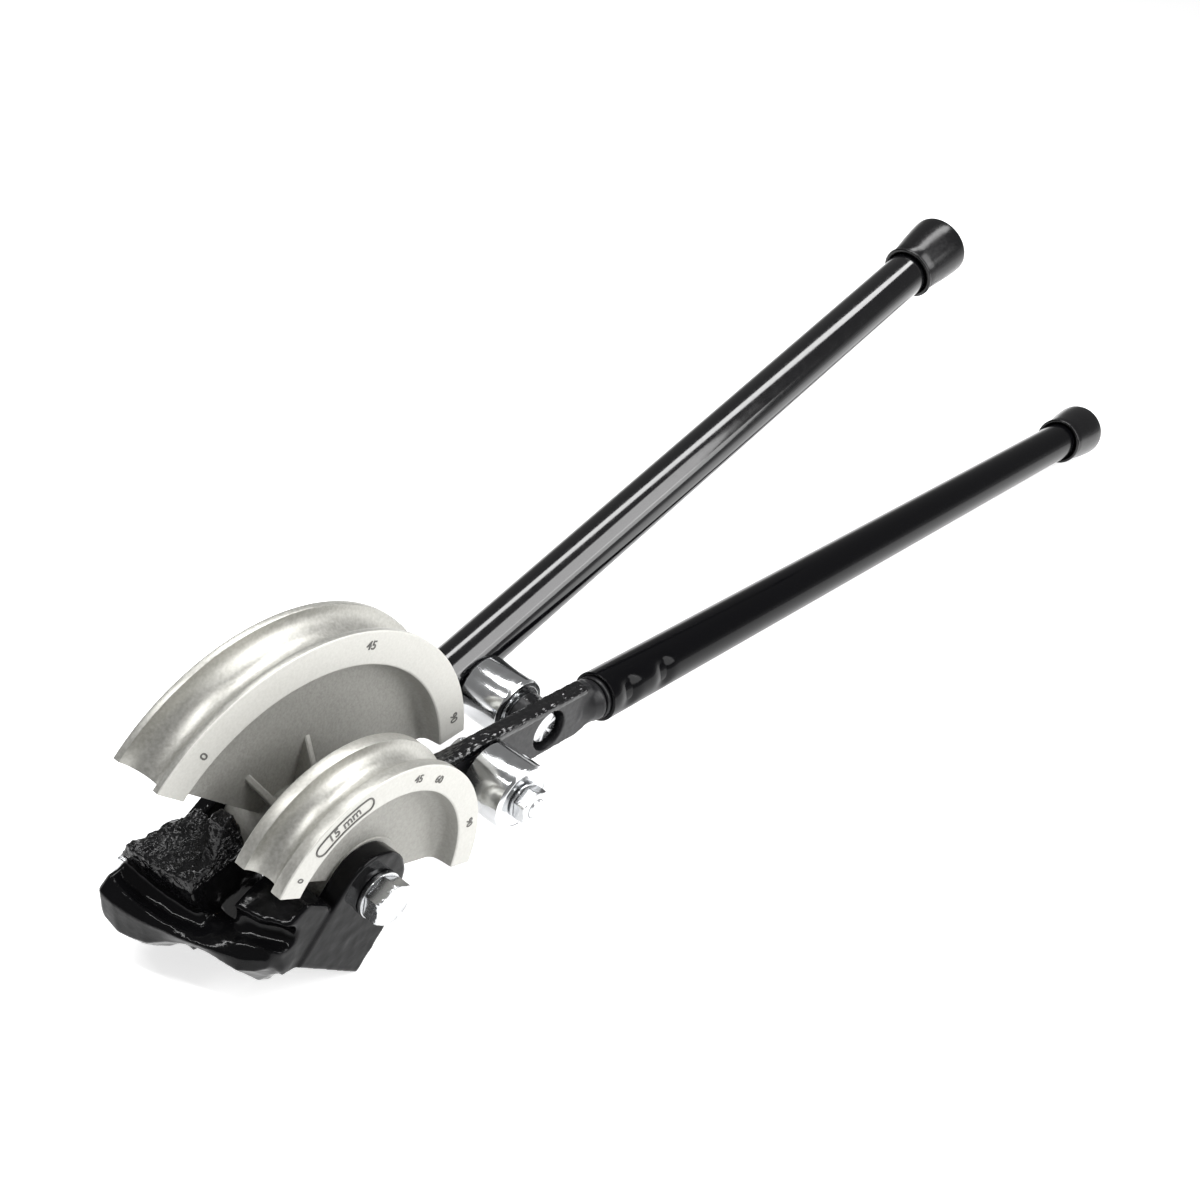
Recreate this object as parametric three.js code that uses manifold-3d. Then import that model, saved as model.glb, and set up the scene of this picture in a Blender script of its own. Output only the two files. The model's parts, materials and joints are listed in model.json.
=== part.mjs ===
// Hand pipe bender for two sizes of copper pipe, lying on its side on a flat surface.
// Everything is in millimetres. The pivot axis runs along Y, the handles run roughly along +X,
// and the pieces are first placed round the pivot and then tilted as one, so that the cheeks'
// lower corners and the lever's end cap stand on the same level.
import * as THREE from 'three';
import { mergeVertices } from 'three/addons/utils/BufferGeometryUtils.js';
import Module from 'manifold-3d';

const wasm = await Module();
wasm.setup();

// Fits and cutters
const gap = 0.3; // between pieces that touch
const weldDistance = 0.0003; // corners closer than this are one corner
const overrun = 3; // how far a cutter runs past the face it opens
const fineSteps = 40; // steps round a large turned piece
const coarseSteps = 24; // steps round a bolt, bush or tube
const fullTurn = Math.PI * 2;
const degrees = Math.PI / 180;
const percent = 0.01;

// Pivot fastening: one through bolt with a self-locking nut
const pivotRadius = 6;
const pivotHeadAcrossFlats = 19;
const pivotHeadHeight = 6.6;
const pivotHeadTurn = 44.5 * degrees;
const pivotWasherRadius = 13;
const pivotWasherThickness = 2.4;
const pivotNutHeight = 10.5;
const pivotNutRingHeight = 2.5;
const pivotNutRingRadius = 8.4;
const pivotBoltStickOut = 2.5;

// Lever arm: flat forging with an eye, two roller seats and a spigot for its tube
const leverAngle = -15.6 * degrees;
const leverLift = 2.8; // lever tube's axis above the pivot, square to the lever
const armThickness = 10;
const armAbove = 18; // arm's edges, from the pivot's level
const armBelow = 12.4;
const eyeRadius = 20;
const eyeWasherThickness = 1.5;
const eyeWasherRadius = 16;
const bushWall = 3;
const collarStart = 185;
const collarLength = 5;
const collarRadius = 13;
const collarNeck = 8; // from the flat of the arm to the collar
const collarRoot = 3; // where the neck runs into the collar
const collarWaistRadius = 10.4;
const leverTubeRadius = 14;
const leverTubeWall = 1.6;
const leverTubeLength = 604;
const leverSpigotLength = 58;
const tubePlay = 0.35; // spigot to tube, on the radius

// Formers: half-round grooved castings
const smallFormerRadius = 64.3;
const smallFormerWidth = 28.9;
const smallFlange = 6.2;
const smallRimWall = 13; // rim to web recess, on the radius
const smallWeb = 6;
const smallWebDepth = 11.2; // near rim face to web
const smallFormerStart = -31 * degrees;
const smallFormerEnd = 137 * degrees;
const bigFormerRadius = 104.2;
const bigFormerWidth = 29.5;
const bigFlange = 3.7;
const bigRimWall = 17;
const bigWeb = 7;
const bigWebDepth = 11;
const bigFormerStart = -9 * degrees;
const bigFormerEnd = 126 * degrees;
const formerHubRadius = 22;
const rimDraft = 1.8; // slope of the rim's inner wall, on the radius
const ribAngles = [108 * degrees, 65 * degrees];
const ribThickness = 3.2;
const ribReach = 47;
const ribFoot = 3;
const formerPinRadius = 3;
const formerPinOffset = 16;
const formerPinLength = 12;
const armToSmallFormer = 0.5;
const armToBigFormer = 9.45;

// Cheeks and hook casting
const cheekThickness = 10.3;
const cheekInset = 10.1; // how deep the near cheek sits in the small former
const cheekHalfWidth = 23;
const cheekRoundRadius = 20;
const cheekRoundOffset = 3.5; // round end's centre, across the cheek
const cheekShoulder = 16; // where the round end meets the straight side
const cheekReach = 40.4;
const cheekAngle = 218 * degrees;
const farCheekThickness = 8;
const farCheekRadius = 26;
const bigFormerToCheek = 0.8;
const armSlotPlay = 0.6;
const clawInset = 3; // near claw's end, inside the near cheek's face
const headReach = 88; // pivot to the outermost front of the cross head
const finThickness = 8;
const farTroughTurn = 10 * degrees; // troughs follow the lip, in plan
const nearTroughTurn = 24 * degrees;
const stockBoltRadius = 5;
const stockBoltAcrossFlats = 17;
const stockBoltHeadHeight = 6.4;
const stockBoltLength = 22;
const stockBoltWasherThickness = 2;
const stockBoltWasherRadius = 10;
const stockBoltPlaces = [[-40, -2], [-62, -1]];
const stockBoltPadRadius = 12;
const headTaper = 11; // how far the block's far side leans in at its top, beside the pivot

// Stock handle: tube carried beside the far cheek
const stockAngle = 5.57 * degrees;
const stockDrop = 44.3; // stock tube's axis below the pivot
const stockTubeRadius = 14;
const stockTubeWall = 1.6;
const stockTubeStart = 62;
const stockTubeLength = 529;
const stockSpigotLength = 60;
const stockSocketLength = 24;

// End caps on both tubes
const capMouthRadius = 16.8;
const capEndRadius = 20;
const capLength = 39;
const capEndWall = 5;
const capRound = 3;
const capInset = 1.2; // rounding of the mouth
const [capWaistShare, capShoulderShare] = [0.45, 0.8]; // where the flare changes slope

// Rollers
const nearRollerPlace = 98;
const nearRollerLift = 1.3; // roller axes above the pivot, square to the lever
const nearRollerRadius = 18.2;
const nearRollerLength = 26;
const nearRollerToArm = 2;
const farRollerPlace = 148;
const farRollerLift = 2.6;
const farRollerRadius = 17.8;
const farRollerLength = 28;
const farRecessDepth = 3.5; // the thin nut sits inside the roller's far face
const farRecessRadius = 10;
const farBossRadius = 12.5;
const farBossLength = 9.4;
const counterboreRadius = 11.6;
const counterboreDepth = 9.5;
const rollerBushWall = 2;
const rollerPlay = 0.3;
const rollerChamfer = 1.4;
const rollerBoltRadius = 5;
const rollerHeadAcrossFlats = 17;
const rollerHeadHeight = 6.4;
const rollerWasherThickness = 1;
const rollerWasherRadius = 10;
const nearNutHeight = 6.6;
const nearNutTurn = 8 * degrees;
const nearBoltStickOut = 0.8;
const farBoltHeadAcrossFlats = 17;
const farBoltHeadHeight = 6;
const farNutHeight = 2.6;
const farNutRadius = 9;

// Where each layer lies along the pivot axis, from the arm outwards
const armNear = -armThickness / 2;
const armFar = armThickness / 2;
const washerStep = eyeWasherThickness + 2 * gap;
const smallFar = armNear - armToSmallFormer;
const smallNear = smallFar - smallFormerWidth;
const smallHubFar = armNear - washerStep;
const cheekFar = smallNear + cheekInset;
const cheekNear = cheekFar - cheekThickness;
const smallHubNear = cheekFar + gap;
const bigNear = armFar + armToBigFormer;
const bigFar = bigNear + bigFormerWidth;
const bigHubNear = armFar + washerStep;
const farCheekNear = bigFar + bigFormerToCheek;
const farCheekFar = farCheekNear + farCheekThickness;
const bigHubFar = farCheekNear - gap;
const slotNear = armNear - armSlotPlay;
const slotFar = armFar + armSlotPlay;
const headFar = farCheekNear - gap;
const stockTubeY = farCheekNear + stockTubeRadius;

// Levels and tilt: the cheeks' lower corner and the lever cap's lowest edge share one level
const cheekCorner = [
  cheekReach * Math.cos(cheekAngle) - cheekHalfWidth * Math.sin(cheekAngle),
  cheekReach * Math.sin(cheekAngle) + cheekHalfWidth * Math.cos(cheekAngle),
];
const leverTubeStart = collarStart + collarLength + gap;
const leverTubeEnd = leverTubeStart + leverTubeLength;
const leverCapEnd = leverTubeEnd + gap + capEndWall;
const leverCapStart = leverCapEnd - capLength;
const capFootPlace = leverCapEnd - capRound;
const capFoot = [
  capFootPlace * Math.cos(leverAngle) + (capEndRadius - leverLift) * Math.sin(leverAngle),
  capFootPlace * Math.sin(leverAngle) - (capEndRadius - leverLift) * Math.cos(leverAngle),
];
const floorTilt = Math.atan2(cheekCorner[1] - capFoot[1], capFoot[0] - cheekCorner[0]);

// Finishes
const finishes = {
  paint: { color: 0x0c0c0d, roughness: 0.22, metalness: 0.0 },
  casting: { color: 0x111112, roughness: 0.42, metalness: 0.1 },
  aluminium: { color: 0xa5a39b, roughness: 0.5, metalness: 0.85 },
  zinc: { color: 0xc4c6c8, roughness: 0.28, metalness: 0.95 },
  rubber: { color: 0x131314, roughness: 0.6, metalness: 0.0 },
  bronze: { color: 0xa3763f, roughness: 0.4, metalness: 0.9 },
  nylon: { color: 0x2c4f86, roughness: 0.5, metalness: 0.0 },
};

// Turns a closed geometry into a solid that can be joined and cut.
function solidOf(geometry) {
  const bare = geometry.index ? geometry.toNonIndexed() : geometry.clone();
  bare.deleteAttribute('normal');
  bare.deleteAttribute('uv');
  const merged = mergeVertices(bare, weldDistance);
  const triangles = [];
  const index = merged.index.array;
  for (let i = 0; i < index.length; i += 3) {
    const [a, b, c] = [index[i], index[i + 1], index[i + 2]];
    if (a !== b && b !== c && c !== a) triangles.push(a, b, c);
  }
  return new wasm.Manifold(new wasm.Mesh({
    numProp: 3,
    vertProperties: new Float32Array(merged.attributes.position.array),
    triVerts: new Uint32Array(triangles),
  }));
}

// Gives a solid back as a mesh with its node name and finish.
function meshOf(name, solid, finish) {
  const raw = solid.getMesh();
  const geometry = new THREE.BufferGeometry();
  geometry.setAttribute('position', new THREE.BufferAttribute(raw.vertProperties, 3));
  geometry.setIndex(new THREE.BufferAttribute(raw.triVerts, 1));
  geometry.computeVertexNormals();
  const mesh = new THREE.Mesh(geometry, new THREE.MeshStandardMaterial(finishes[finish]));
  mesh.name = name;
  return mesh;
}

// Joins solids into one.
function joined(solids) {
  return solids.reduce((whole, next) => whole.add(next));
}

// Cuts every cutter out of a solid.
function cut(solid, cutters) {
  return cutters.reduce((whole, cutter) => whole.subtract(cutter), solid);
}

// Turned round the pivot's direction: profile of [radius, y] pairs, centred at x, z.
function turned(profile, x = 0, z = 0, steps = coarseSteps) {
  const points = profile.map(([radius, y]) => new THREE.Vector2(radius, y));
  return solidOf(new THREE.LatheGeometry(points, steps).translate(x, 0, z));
}

// A plain round bar along Y.
function bar(radius, y0, y1, x = 0, z = 0, steps = coarseSteps) {
  return turned([[0, y0], [radius, y0], [radius, y1], [0, y1]], x, z, steps);
}

// A ring along Y.
function ring(inner, outer, y0, y1, x = 0, z = 0, steps = coarseSteps) {
  return turned([[inner, y0], [outer, y0], [outer, y1], [inner, y1], [inner, y0]], x, z, steps);
}

// Turned round a handle's axis: profile of [radius, place] pairs along +X, then set off by y, z.
function turnedAlong(profile, y, z, steps = coarseSteps) {
  const points = profile.map(([radius, place]) => new THREE.Vector2(radius, place));
  const geometry = new THREE.LatheGeometry(points, steps).rotateZ(-Math.PI / 2);
  return solidOf(geometry.translate(0, y, z));
}

// A flat shape in X and Z, carried along Y from y0 to y1.
function plate(shape, y0, y1, curveSegments = 12) {
  const geometry = new THREE.ExtrudeGeometry(shape, { depth: y1 - y0, bevelEnabled: false, curveSegments });
  return solidOf(geometry.rotateX(Math.PI / 2).translate(0, y1, 0));
}

// A closed outline through points.
function outline(points) {
  return new THREE.Shape(points.map(([x, z]) => new THREE.Vector2(x, z)));
}

// A bar with round ends of two radii, as a tangent outline.
function roundBar([x0, z0], r0, [x1, z1], r1) {
  const direction = Math.atan2(z1 - z0, x1 - x0);
  const tangent = Math.acos((r0 - r1) / Math.hypot(x1 - x0, z1 - z0));
  const shape = new THREE.Shape();
  shape.absarc(x0, z0, r0, direction + tangent, direction - tangent + fullTurn, false);
  shape.absarc(x1, z1, r1, direction - tangent, direction + tangent, false);
  shape.closePath();
  return shape;
}

// A hexagonal prism along Y, with across-flats width.
function hexagon(acrossFlats, y0, y1, x = 0, z = 0, turn = 0) {
  const corner = acrossFlats / Math.sqrt(3);
  const points = [0, 1, 2, 3, 4, 5].map((i) => {
    const angle = turn + (i * fullTurn) / 6;
    return [x + corner * Math.cos(angle), z + corner * Math.sin(angle)];
  });
  return plate(outline(points), y0, y1);
}

// Cone that rounds off a hexagon's corners at the face at y; towards is +1 or -1.
function headChamfer(acrossFlats, y0, y1, towards, x = 0, z = 0) {
  const corner = acrossFlats / Math.sqrt(3);
  const bevel = corner * (1 - Math.sqrt(3) / 2);
  const profile = towards > 0
    ? [[0, y0], [corner + bevel, y0], [corner + bevel, y1 - bevel], [corner - bevel, y1], [0, y1]]
    : [[0, y0], [corner - bevel, y0], [corner + bevel, y0 + bevel], [corner + bevel, y1], [0, y1]];
  return turned(profile, x, z);
}

// A hexagon head with its corners rounded off on its outer face.
function hexHead(acrossFlats, y0, y1, towards, x = 0, z = 0, turn = 0) {
  return hexagon(acrossFlats, y0, y1, x, z, turn)
    .intersect(headChamfer(acrossFlats, y0, y1, towards, x, z));
}

// A wedge of space between two angles, wide enough to hold a former.
function sector(radius, start, end, y0, y1) {
  const shape = new THREE.Shape();
  shape.moveTo(0, 0);
  shape.lineTo(radius * Math.cos(start), radius * Math.sin(start));
  shape.absarc(0, 0, radius, start, end, false);
  shape.closePath();
  return plate(shape, y0, y1, fineSteps);
}

// Grooved rim, web and hub, turned whole, then kept between two angles outside the hub.
function former(sizes) {
  const { radius, near, far, flange, rimWall, web, webDepth, start, end, hubNear, hubFar } = sizes;
  const rimInner = radius - rimWall;
  const grooveRadius = (far - near) / 2 - flange;
  const middle = (near + far) / 2;
  const webNear = near + webDepth;
  const webFar = webNear + web;
  const grooveSteps = 10;
  const groove = [];
  for (let i = 0; i <= grooveSteps; i += 1) {
    const angle = (i * Math.PI) / grooveSteps;
    groove.push([radius - grooveRadius * Math.sin(angle), middle - grooveRadius * Math.cos(angle)]);
  }
  const profile = [
    [0, webNear], [rimInner - rimDraft, webNear], [rimInner, near], [radius, near],
    ...groove,
    [radius, far], [rimInner, far], [rimInner - rimDraft, webFar], [0, webFar],
  ];
  const blank = turned(profile, 0, 0, fineSteps * 2);
  const kept = blank.intersect(sector(radius + overrun, start, end, near - overrun, far + overrun));
  const hub = bar(formerHubRadius, hubNear, hubFar, 0, 0, fineSteps);
  return kept.add(hub).subtract(bar(pivotRadius + gap, hubNear - overrun, hubFar + overrun));
}

// Hook casting

// Cross head: seven-sided sections lofted from the far end to the near claw.
function crossHead() {
  const farY = headFar;
  const nearY = cheekNear + clawInset;
  // each row: place along the bar, then x and z of seven corners, in hundredths of its reach
  const sectionPercent = [
    [0, [-91, 27], [-98, 22], [-100, 2], [-91, -22], [-75, -27], [-57, -23], [-68, 27]],
    [20, [-89, 22], [-96, 17], [-96, -2], [-85, -22], [-72, -31], [-57, -23], [-70, 23]],
    [38, [-84, 16], [-90, 12], [-88, -2], [-80, -10], [-68, -13], [-57, -12], [-70, 16]],
    [53, [-77, 11], [-84, 10], [-81, 4], [-74, -4], [-65, -8], [-57, -8], [-68, 10]],
    [71, [-70, 10], [-76, 7], [-74, 1], [-67, -9], [-60, -14], [-52, -12], [-61, 11]],
    [83, [-66, 11], [-72, 7], [-73, -4], [-66, -18], [-58, -24], [-50, -17], [-56, 14]],
    [93, [-62, 12], [-69, 9], [-70, -1], [-65, -12], [-57, -17], [-50, -11], [-53, 16]],
    [100, [-60, 12], [-65, 9], [-67, 2], [-62, -4], [-57, -7], [-52, -2], [-54, 13]],
  ];
  const corners = 7;
  const positions = [];
  for (const [place, ...points] of sectionPercent) {
    const y = farY + (nearY - farY) * place * percent;
    for (const [x, z] of points) positions.push(x * percent * headReach, y, z * percent * headReach);
  }
  const faces = [];
  const last = (sectionPercent.length - 1) * corners;
  for (let s = 0; s < last; s += corners) {
    for (let i = 0; i < corners; i += 1) {
      const j = (i + 1) % corners;
      faces.push(s + i, s + j, s + corners + i, s + j, s + corners + j, s + corners + i);
    }
  }
  for (let i = 1; i < corners - 1; i += 1) {
    faces.push(0, i + 1, i, last, last + i, last + i + 1);
  }
  const geometry = new THREE.BufferGeometry();
  geometry.setAttribute('position', new THREE.Float32BufferAttribute(positions, 3));
  geometry.setIndex(faces);
  return solidOf(geometry);
}

// Places given as shares of the cross head's reach.
function ofHead(shares) {
  return outline(shares.map(([x, z]) => [x * headReach, z * headReach]));
}

// Far block that the pipe's hook is cut from, with the fin on its top.
function hookBlock() {
  const blockShares = [
    [-0.409, 0.402], [-0.807, 0.402], [-0.831, 0.322], [-0.791, -0.072],
    [-0.686, -0.102], [-0.330, -0.092], [-0.330, 0.101], [-0.409, 0.241],
  ];
  const finShares = [[-0.409, 0.368], [-0.384, 0.516], [-0.417, 0.630], [-0.499, 0.595], [-0.573, 0.368]];
  const [leanOuterShare, leanInnerShare, leanFootShare, topShare] = [-0.807, -0.330, 0.202, 0.403];
  const lean = new THREE.Shape([
    new THREE.Vector2(-headReach, headFar + overrun),
    new THREE.Vector2(leanOuterShare * headReach, headFar),
    new THREE.Vector2(leanInnerShare * headReach, headFar - headTaper),
    new THREE.Vector2(0, headFar + overrun),
  ]);
  const depth = (topShare - leanFootShare) * headReach;
  const leanCut = new THREE.ExtrudeGeometry(lean, { depth, bevelEnabled: false });
  leanCut.translate(0, 0, leanFootShare * headReach);
  const block = plate(ofHead(blockShares), slotFar, headFar).subtract(solidOf(leanCut));
  return block.add(plate(ofHead(finShares), slotFar, slotFar + finThickness));
}

// Near cheek: round at the pivot, square at its lower end.
function cheekShape() {
  const side = [-Math.sin(cheekAngle), Math.cos(cheekAngle)];
  const along = [Math.cos(cheekAngle), Math.sin(cheekAngle)];
  const place = (reach, across) => [0, 1].map((k) => reach * along[k] + across * side[k]);
  const centre = place(0, -cheekRoundOffset);
  const lean = Math.atan2(cheekHalfWidth - cheekRoundRadius + cheekRoundOffset, cheekShoulder);
  const start = cheekAngle + Math.PI / 2 + lean;
  const shape = new THREE.Shape();
  shape.absarc(...centre, cheekRoundRadius, start, cheekAngle + Math.PI * 1.5, false);
  shape.lineTo(...place(cheekReach, -cheekHalfWidth));
  shape.lineTo(...place(cheekReach, cheekHalfWidth));
  shape.lineTo(...place(cheekShoulder, cheekHalfWidth));
  shape.closePath();
  return shape;
}

// Neck between the near cheek and the claw, beside the arm's slot.
function nearNeck() {
  const neckShares = [
    [-0.398, 0.283], [-0.600, 0.180], [-0.600, -0.064], [-0.400, -0.116], [-0.270, -0.090], [-0.270, 0.154],
  ];
  return plate(ofHead(neckShares), cheekNear + overrun, slotNear);
}

// Troughs in which the hooked end of the pipe lies.
function troughCutters() {
  // radius, length and centre of each trough, as shares of the head's reach, and its turn
  const troughShares = [
    [0.086, 0.20, [-0.855, 0.260, 0.262], farTroughTurn],
    [0.073, 0.22, [-0.575, -0.280, 0.165], nearTroughTurn],
  ];
  const [capSteps, roundSteps] = [4, 14];
  return troughShares.map(([radiusShare, lengthShare, centreShares, turn]) => {
    const [radius, length] = [radiusShare * headReach, lengthShare * headReach];
    const capsule = new THREE.CapsuleGeometry(radius, length, capSteps, roundSteps).rotateZ(turn);
    return solidOf(capsule.translate(...centreShares.map((share) => share * headReach)));
  });
}

function hookCasting() {
  const holes = stockBoltPlaces.map(([x, z]) => (
    bar(stockBoltRadius + gap, headFar - stockBoltLength, headFar + overrun, x, z)
  ));
  const body = joined([crossHead(), hookBlock(), nearNeck(), plate(cheekShape(), cheekNear, cheekFar)]);
  const hubRoom = bar(formerHubRadius + 2 * gap, cheekFar, headFar + overrun, 0, 0, fineSteps);
  const bore = bar(pivotRadius + gap, cheekNear - overrun, cheekFar + overrun);
  const cutters = [hubRoom, bore, pinHole(smallHubNear), ...troughCutters(), ...holes];
  return meshOf('hook_casting', cut(body, cutters), 'casting');
}

// Far cheek with its bolt pad and the socket and spigot of the stock tube.
function stockArm() {
  const socketStart = stockTubeStart - stockSocketLength;
  const socketEnd = stockTubeStart - gap;
  const spigotRadius = stockTubeRadius - stockTubeWall - tubePlay;
  const toStock = ([s, h]) => [
    s * Math.cos(stockAngle) - h * Math.sin(stockAngle),
    s * Math.sin(stockAngle) + h * Math.cos(stockAngle),
  ];
  const tubeFoot = toStock([socketEnd - stockTubeRadius, -stockDrop]);
  const [firstBolt, secondBolt] = stockBoltPlaces;
  const shapes = [
    cheekShape(),
    roundBar([0, 0], cheekHalfWidth, tubeFoot, stockTubeRadius),
    roundBar(firstBolt, stockBoltPadRadius, secondBolt, stockBoltPadRadius),
    roundBar([0, 0], farCheekRadius, firstBolt, stockBoltPadRadius),
  ];
  const plates = shapes.map((shape) => plate(shape, farCheekNear, farCheekFar));
  const socketShape = [
    [0, socketStart], [stockTubeRadius - capRound, socketStart], [stockTubeRadius, socketStart + capRound],
    [stockTubeRadius, socketEnd], [spigotRadius, socketEnd],
    [spigotRadius, socketEnd + stockSpigotLength], [0, socketEnd + stockSpigotLength],
  ];
  const points = socketShape.map(([radius, place]) => new THREE.Vector2(radius, place));
  const socket = new THREE.LatheGeometry(points, coarseSteps).rotateZ(-Math.PI / 2);
  socket.translate(0, stockTubeY, -stockDrop).rotateY(-stockAngle);
  const holes = stockBoltPlaces.map(([x, z]) => (
    bar(stockBoltRadius + gap, farCheekNear - overrun, farCheekFar + overrun, x, z)
  ));
  const bore = bar(pivotRadius + gap, farCheekNear - overrun, farCheekFar + overrun);
  const body = joined([...plates, solidOf(socket)]);
  return meshOf('stock_arm', cut(body, [bore, pinHole(bigHubFar), ...holes]), 'casting');
}

function stockArmFasteners() {
  const washerFace = farCheekFar + gap;
  const headFace = washerFace + stockBoltWasherThickness + gap;
  const washerEnd = washerFace + stockBoltWasherThickness;
  return stockBoltPlaces.flatMap(([x, z], i) => {
    const shank = bar(stockBoltRadius, headFar - stockBoltLength + overrun, headFace, x, z);
    const head = hexHead(stockBoltAcrossFlats, headFace, headFace + stockBoltHeadHeight, 1, x, z);
    const washer = ring(stockBoltRadius + gap, stockBoltWasherRadius, washerFace, washerEnd, x, z);
    return [
      meshOf(`stock_arm_bolt_${i + 1}`, shank.add(head), 'zinc'),
      meshOf(`stock_arm_washer_${i + 1}`, washer, 'zinc'),
    ];
  });
}

// Formers and the dowels that stop them turning

const pinPlace = [formerPinOffset * Math.cos(cheekAngle), formerPinOffset * Math.sin(cheekAngle)];

function pinHole(y) {
  const half = formerPinLength / 2 + gap;
  return bar(formerPinRadius + gap, y - half, y + half, ...pinPlace);
}

function formerPin(name, y) {
  const half = formerPinLength / 2;
  return meshOf(name, bar(formerPinRadius, y - half, y + half, ...pinPlace), 'zinc');
}

function smallFormer() {
  const body = former({
    radius: smallFormerRadius, near: smallNear, far: smallFar, flange: smallFlange,
    rimWall: smallRimWall, web: smallWeb, webDepth: smallWebDepth,
    start: smallFormerStart, end: smallFormerEnd, hubNear: smallHubNear, hubFar: smallHubFar,
  });
  return meshOf('small_former', cut(body, [pinHole(smallHubNear)]), 'aluminium');
}

function bigFormer() {
  const body = former({
    radius: bigFormerRadius, near: bigNear, far: bigFar, flange: bigFlange,
    rimWall: bigRimWall, web: bigWeb, webDepth: bigWebDepth,
    start: bigFormerStart, end: bigFormerEnd, hubNear: bigHubNear, hubFar: bigHubFar,
  });
  const webFace = bigNear + bigWebDepth;
  const ribs = ribAngles.map((angle) => {
    const side = new THREE.Shape([
      new THREE.Vector2(formerHubRadius - ribFoot, bigHubNear + gap),
      new THREE.Vector2(formerHubRadius, bigHubNear + gap),
      new THREE.Vector2(ribReach, webFace),
      new THREE.Vector2(ribReach, webFace + ribFoot),
      new THREE.Vector2(formerHubRadius - ribFoot, webFace + ribFoot),
    ]);
    const geometry = new THREE.ExtrudeGeometry(side, { depth: ribThickness, bevelEnabled: false });
    return solidOf(geometry.translate(0, 0, -ribThickness / 2).rotateY(-angle));
  });
  return meshOf('large_former', cut(joined([body, ...ribs]), [pinHole(bigHubFar)]), 'aluminium');
}

// Pivot fastening

function pivotFastening() {
  const washerNear = cheekNear - gap - pivotWasherThickness;
  const headFace = washerNear - gap;
  const farWasher = farCheekFar + gap;
  const nutFace = farWasher + pivotWasherThickness + gap;
  const nutEnd = nutFace + pivotNutHeight;
  const ringFace = nutEnd + gap;
  const ringEnd = ringFace + pivotNutRingHeight;
  const bolt = bar(pivotRadius, headFace - pivotHeadHeight / 2, ringEnd + pivotBoltStickOut).add(
    hexHead(pivotHeadAcrossFlats, headFace - pivotHeadHeight, headFace, -1, 0, 0, pivotHeadTurn),
  );
  const nut = cut(hexHead(pivotHeadAcrossFlats, nutFace, nutEnd, 1), [
    bar(pivotRadius + gap, nutFace - overrun, nutEnd + overrun),
  ]);
  return [
    meshOf('pivot_bolt', bolt, 'zinc'),
    meshOf('pivot_head_washer',
      ring(pivotRadius + gap, pivotWasherRadius, washerNear, washerNear + pivotWasherThickness), 'zinc'),
    meshOf('pivot_nut_washer',
      ring(pivotRadius + gap, pivotWasherRadius, farWasher, farWasher + pivotWasherThickness), 'zinc'),
    meshOf('pivot_nut', nut, 'zinc'),
    meshOf('pivot_nut_ring', ring(pivotRadius + gap, pivotNutRingRadius, ringFace, ringEnd), 'nylon'),
  ];
}

// Tubes and caps

function tube(name, radius, wall, start, end, y, z) {
  const inner = radius - wall;
  const profile = [[inner, start], [radius, start], [radius, end], [inner, end], [inner, start]];
  return meshOf(name, turnedAlong(profile, y, z), 'paint');
}

// A cap flares from its mouth to its closed end, with its bore on the tube.
function endCap(name, tubeRadius, start, y, z) {
  const end = start + capLength;
  const bore = tubeRadius + gap;
  const profile = [
    [bore, start], [capMouthRadius - capInset, start], [capMouthRadius, start + capInset],
    [capMouthRadius + (capEndRadius - capMouthRadius) * capWaistShare, start + capLength * capWaistShare],
    [capEndRadius, start + capLength * capShoulderShare], [capEndRadius, end - capRound],
    [capEndRadius - capRound, end], [0, end], [0, end - capEndWall], [bore, end - capEndWall], [bore, start],
  ];
  return meshOf(name, turnedAlong(profile, y, z), 'rubber');
}

// Lever

function leverArm() {
  const flatEnd = collarStart - collarNeck;
  const flat = plate(outline([
    [0, -armBelow], [flatEnd, -armBelow], [collarStart, leverLift - collarRadius / 2],
    [collarStart, leverLift + collarRadius / 2], [flatEnd, armAbove], [0, eyeRadius],
  ]), armNear, armFar);
  const eye = bar(eyeRadius, armNear, armFar, 0, 0, fineSteps);
  const boss = bar(farBossRadius, armFar - overrun, armFar + farBossLength, farRollerPlace, farRollerLift);
  const spigotRadius = leverTubeRadius - leverTubeWall - tubePlay;
  const collarEnd = collarStart + collarLength;
  const collar = turnedAlong([
    [0, flatEnd], [armThickness / 2, flatEnd], [collarWaistRadius, collarStart - collarRoot],
    [collarRadius, collarStart],
    [collarRadius, collarEnd - capInset], [collarRadius - capInset, collarEnd], [spigotRadius, collarEnd],
    [spigotRadius, collarEnd + leverSpigotLength], [0, collarEnd + leverSpigotLength],
  ], 0, leverLift);
  const holes = [
    bar(pivotRadius + bushWall + 2 * gap, armNear - overrun, armFar + overrun),
    bar(rollerBoltRadius + gap, armNear - overrun, armFar + overrun, nearRollerPlace, nearRollerLift),
    bar(rollerBoltRadius + gap, armNear, armFar + farBossLength + overrun, farRollerPlace, farRollerLift),
    bar(counterboreRadius, armNear - overrun, armNear + counterboreDepth, farRollerPlace, farRollerLift),
  ];
  return meshOf('lever_arm', cut(joined([flat, eye, boss, collar]), holes), 'casting');
}

function leverPivotPieces() {
  return [
    meshOf('lever_bush', ring(pivotRadius + gap, pivotRadius + bushWall + gap, armNear, armFar), 'bronze'),
    meshOf('eye_washer_near',
      ring(pivotRadius + gap, eyeWasherRadius, smallHubFar + gap, armNear - gap), 'bronze'),
    meshOf('eye_washer_far',
      ring(pivotRadius + gap, eyeWasherRadius, armFar + gap, bigHubNear - gap), 'bronze'),
  ];
}

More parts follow.
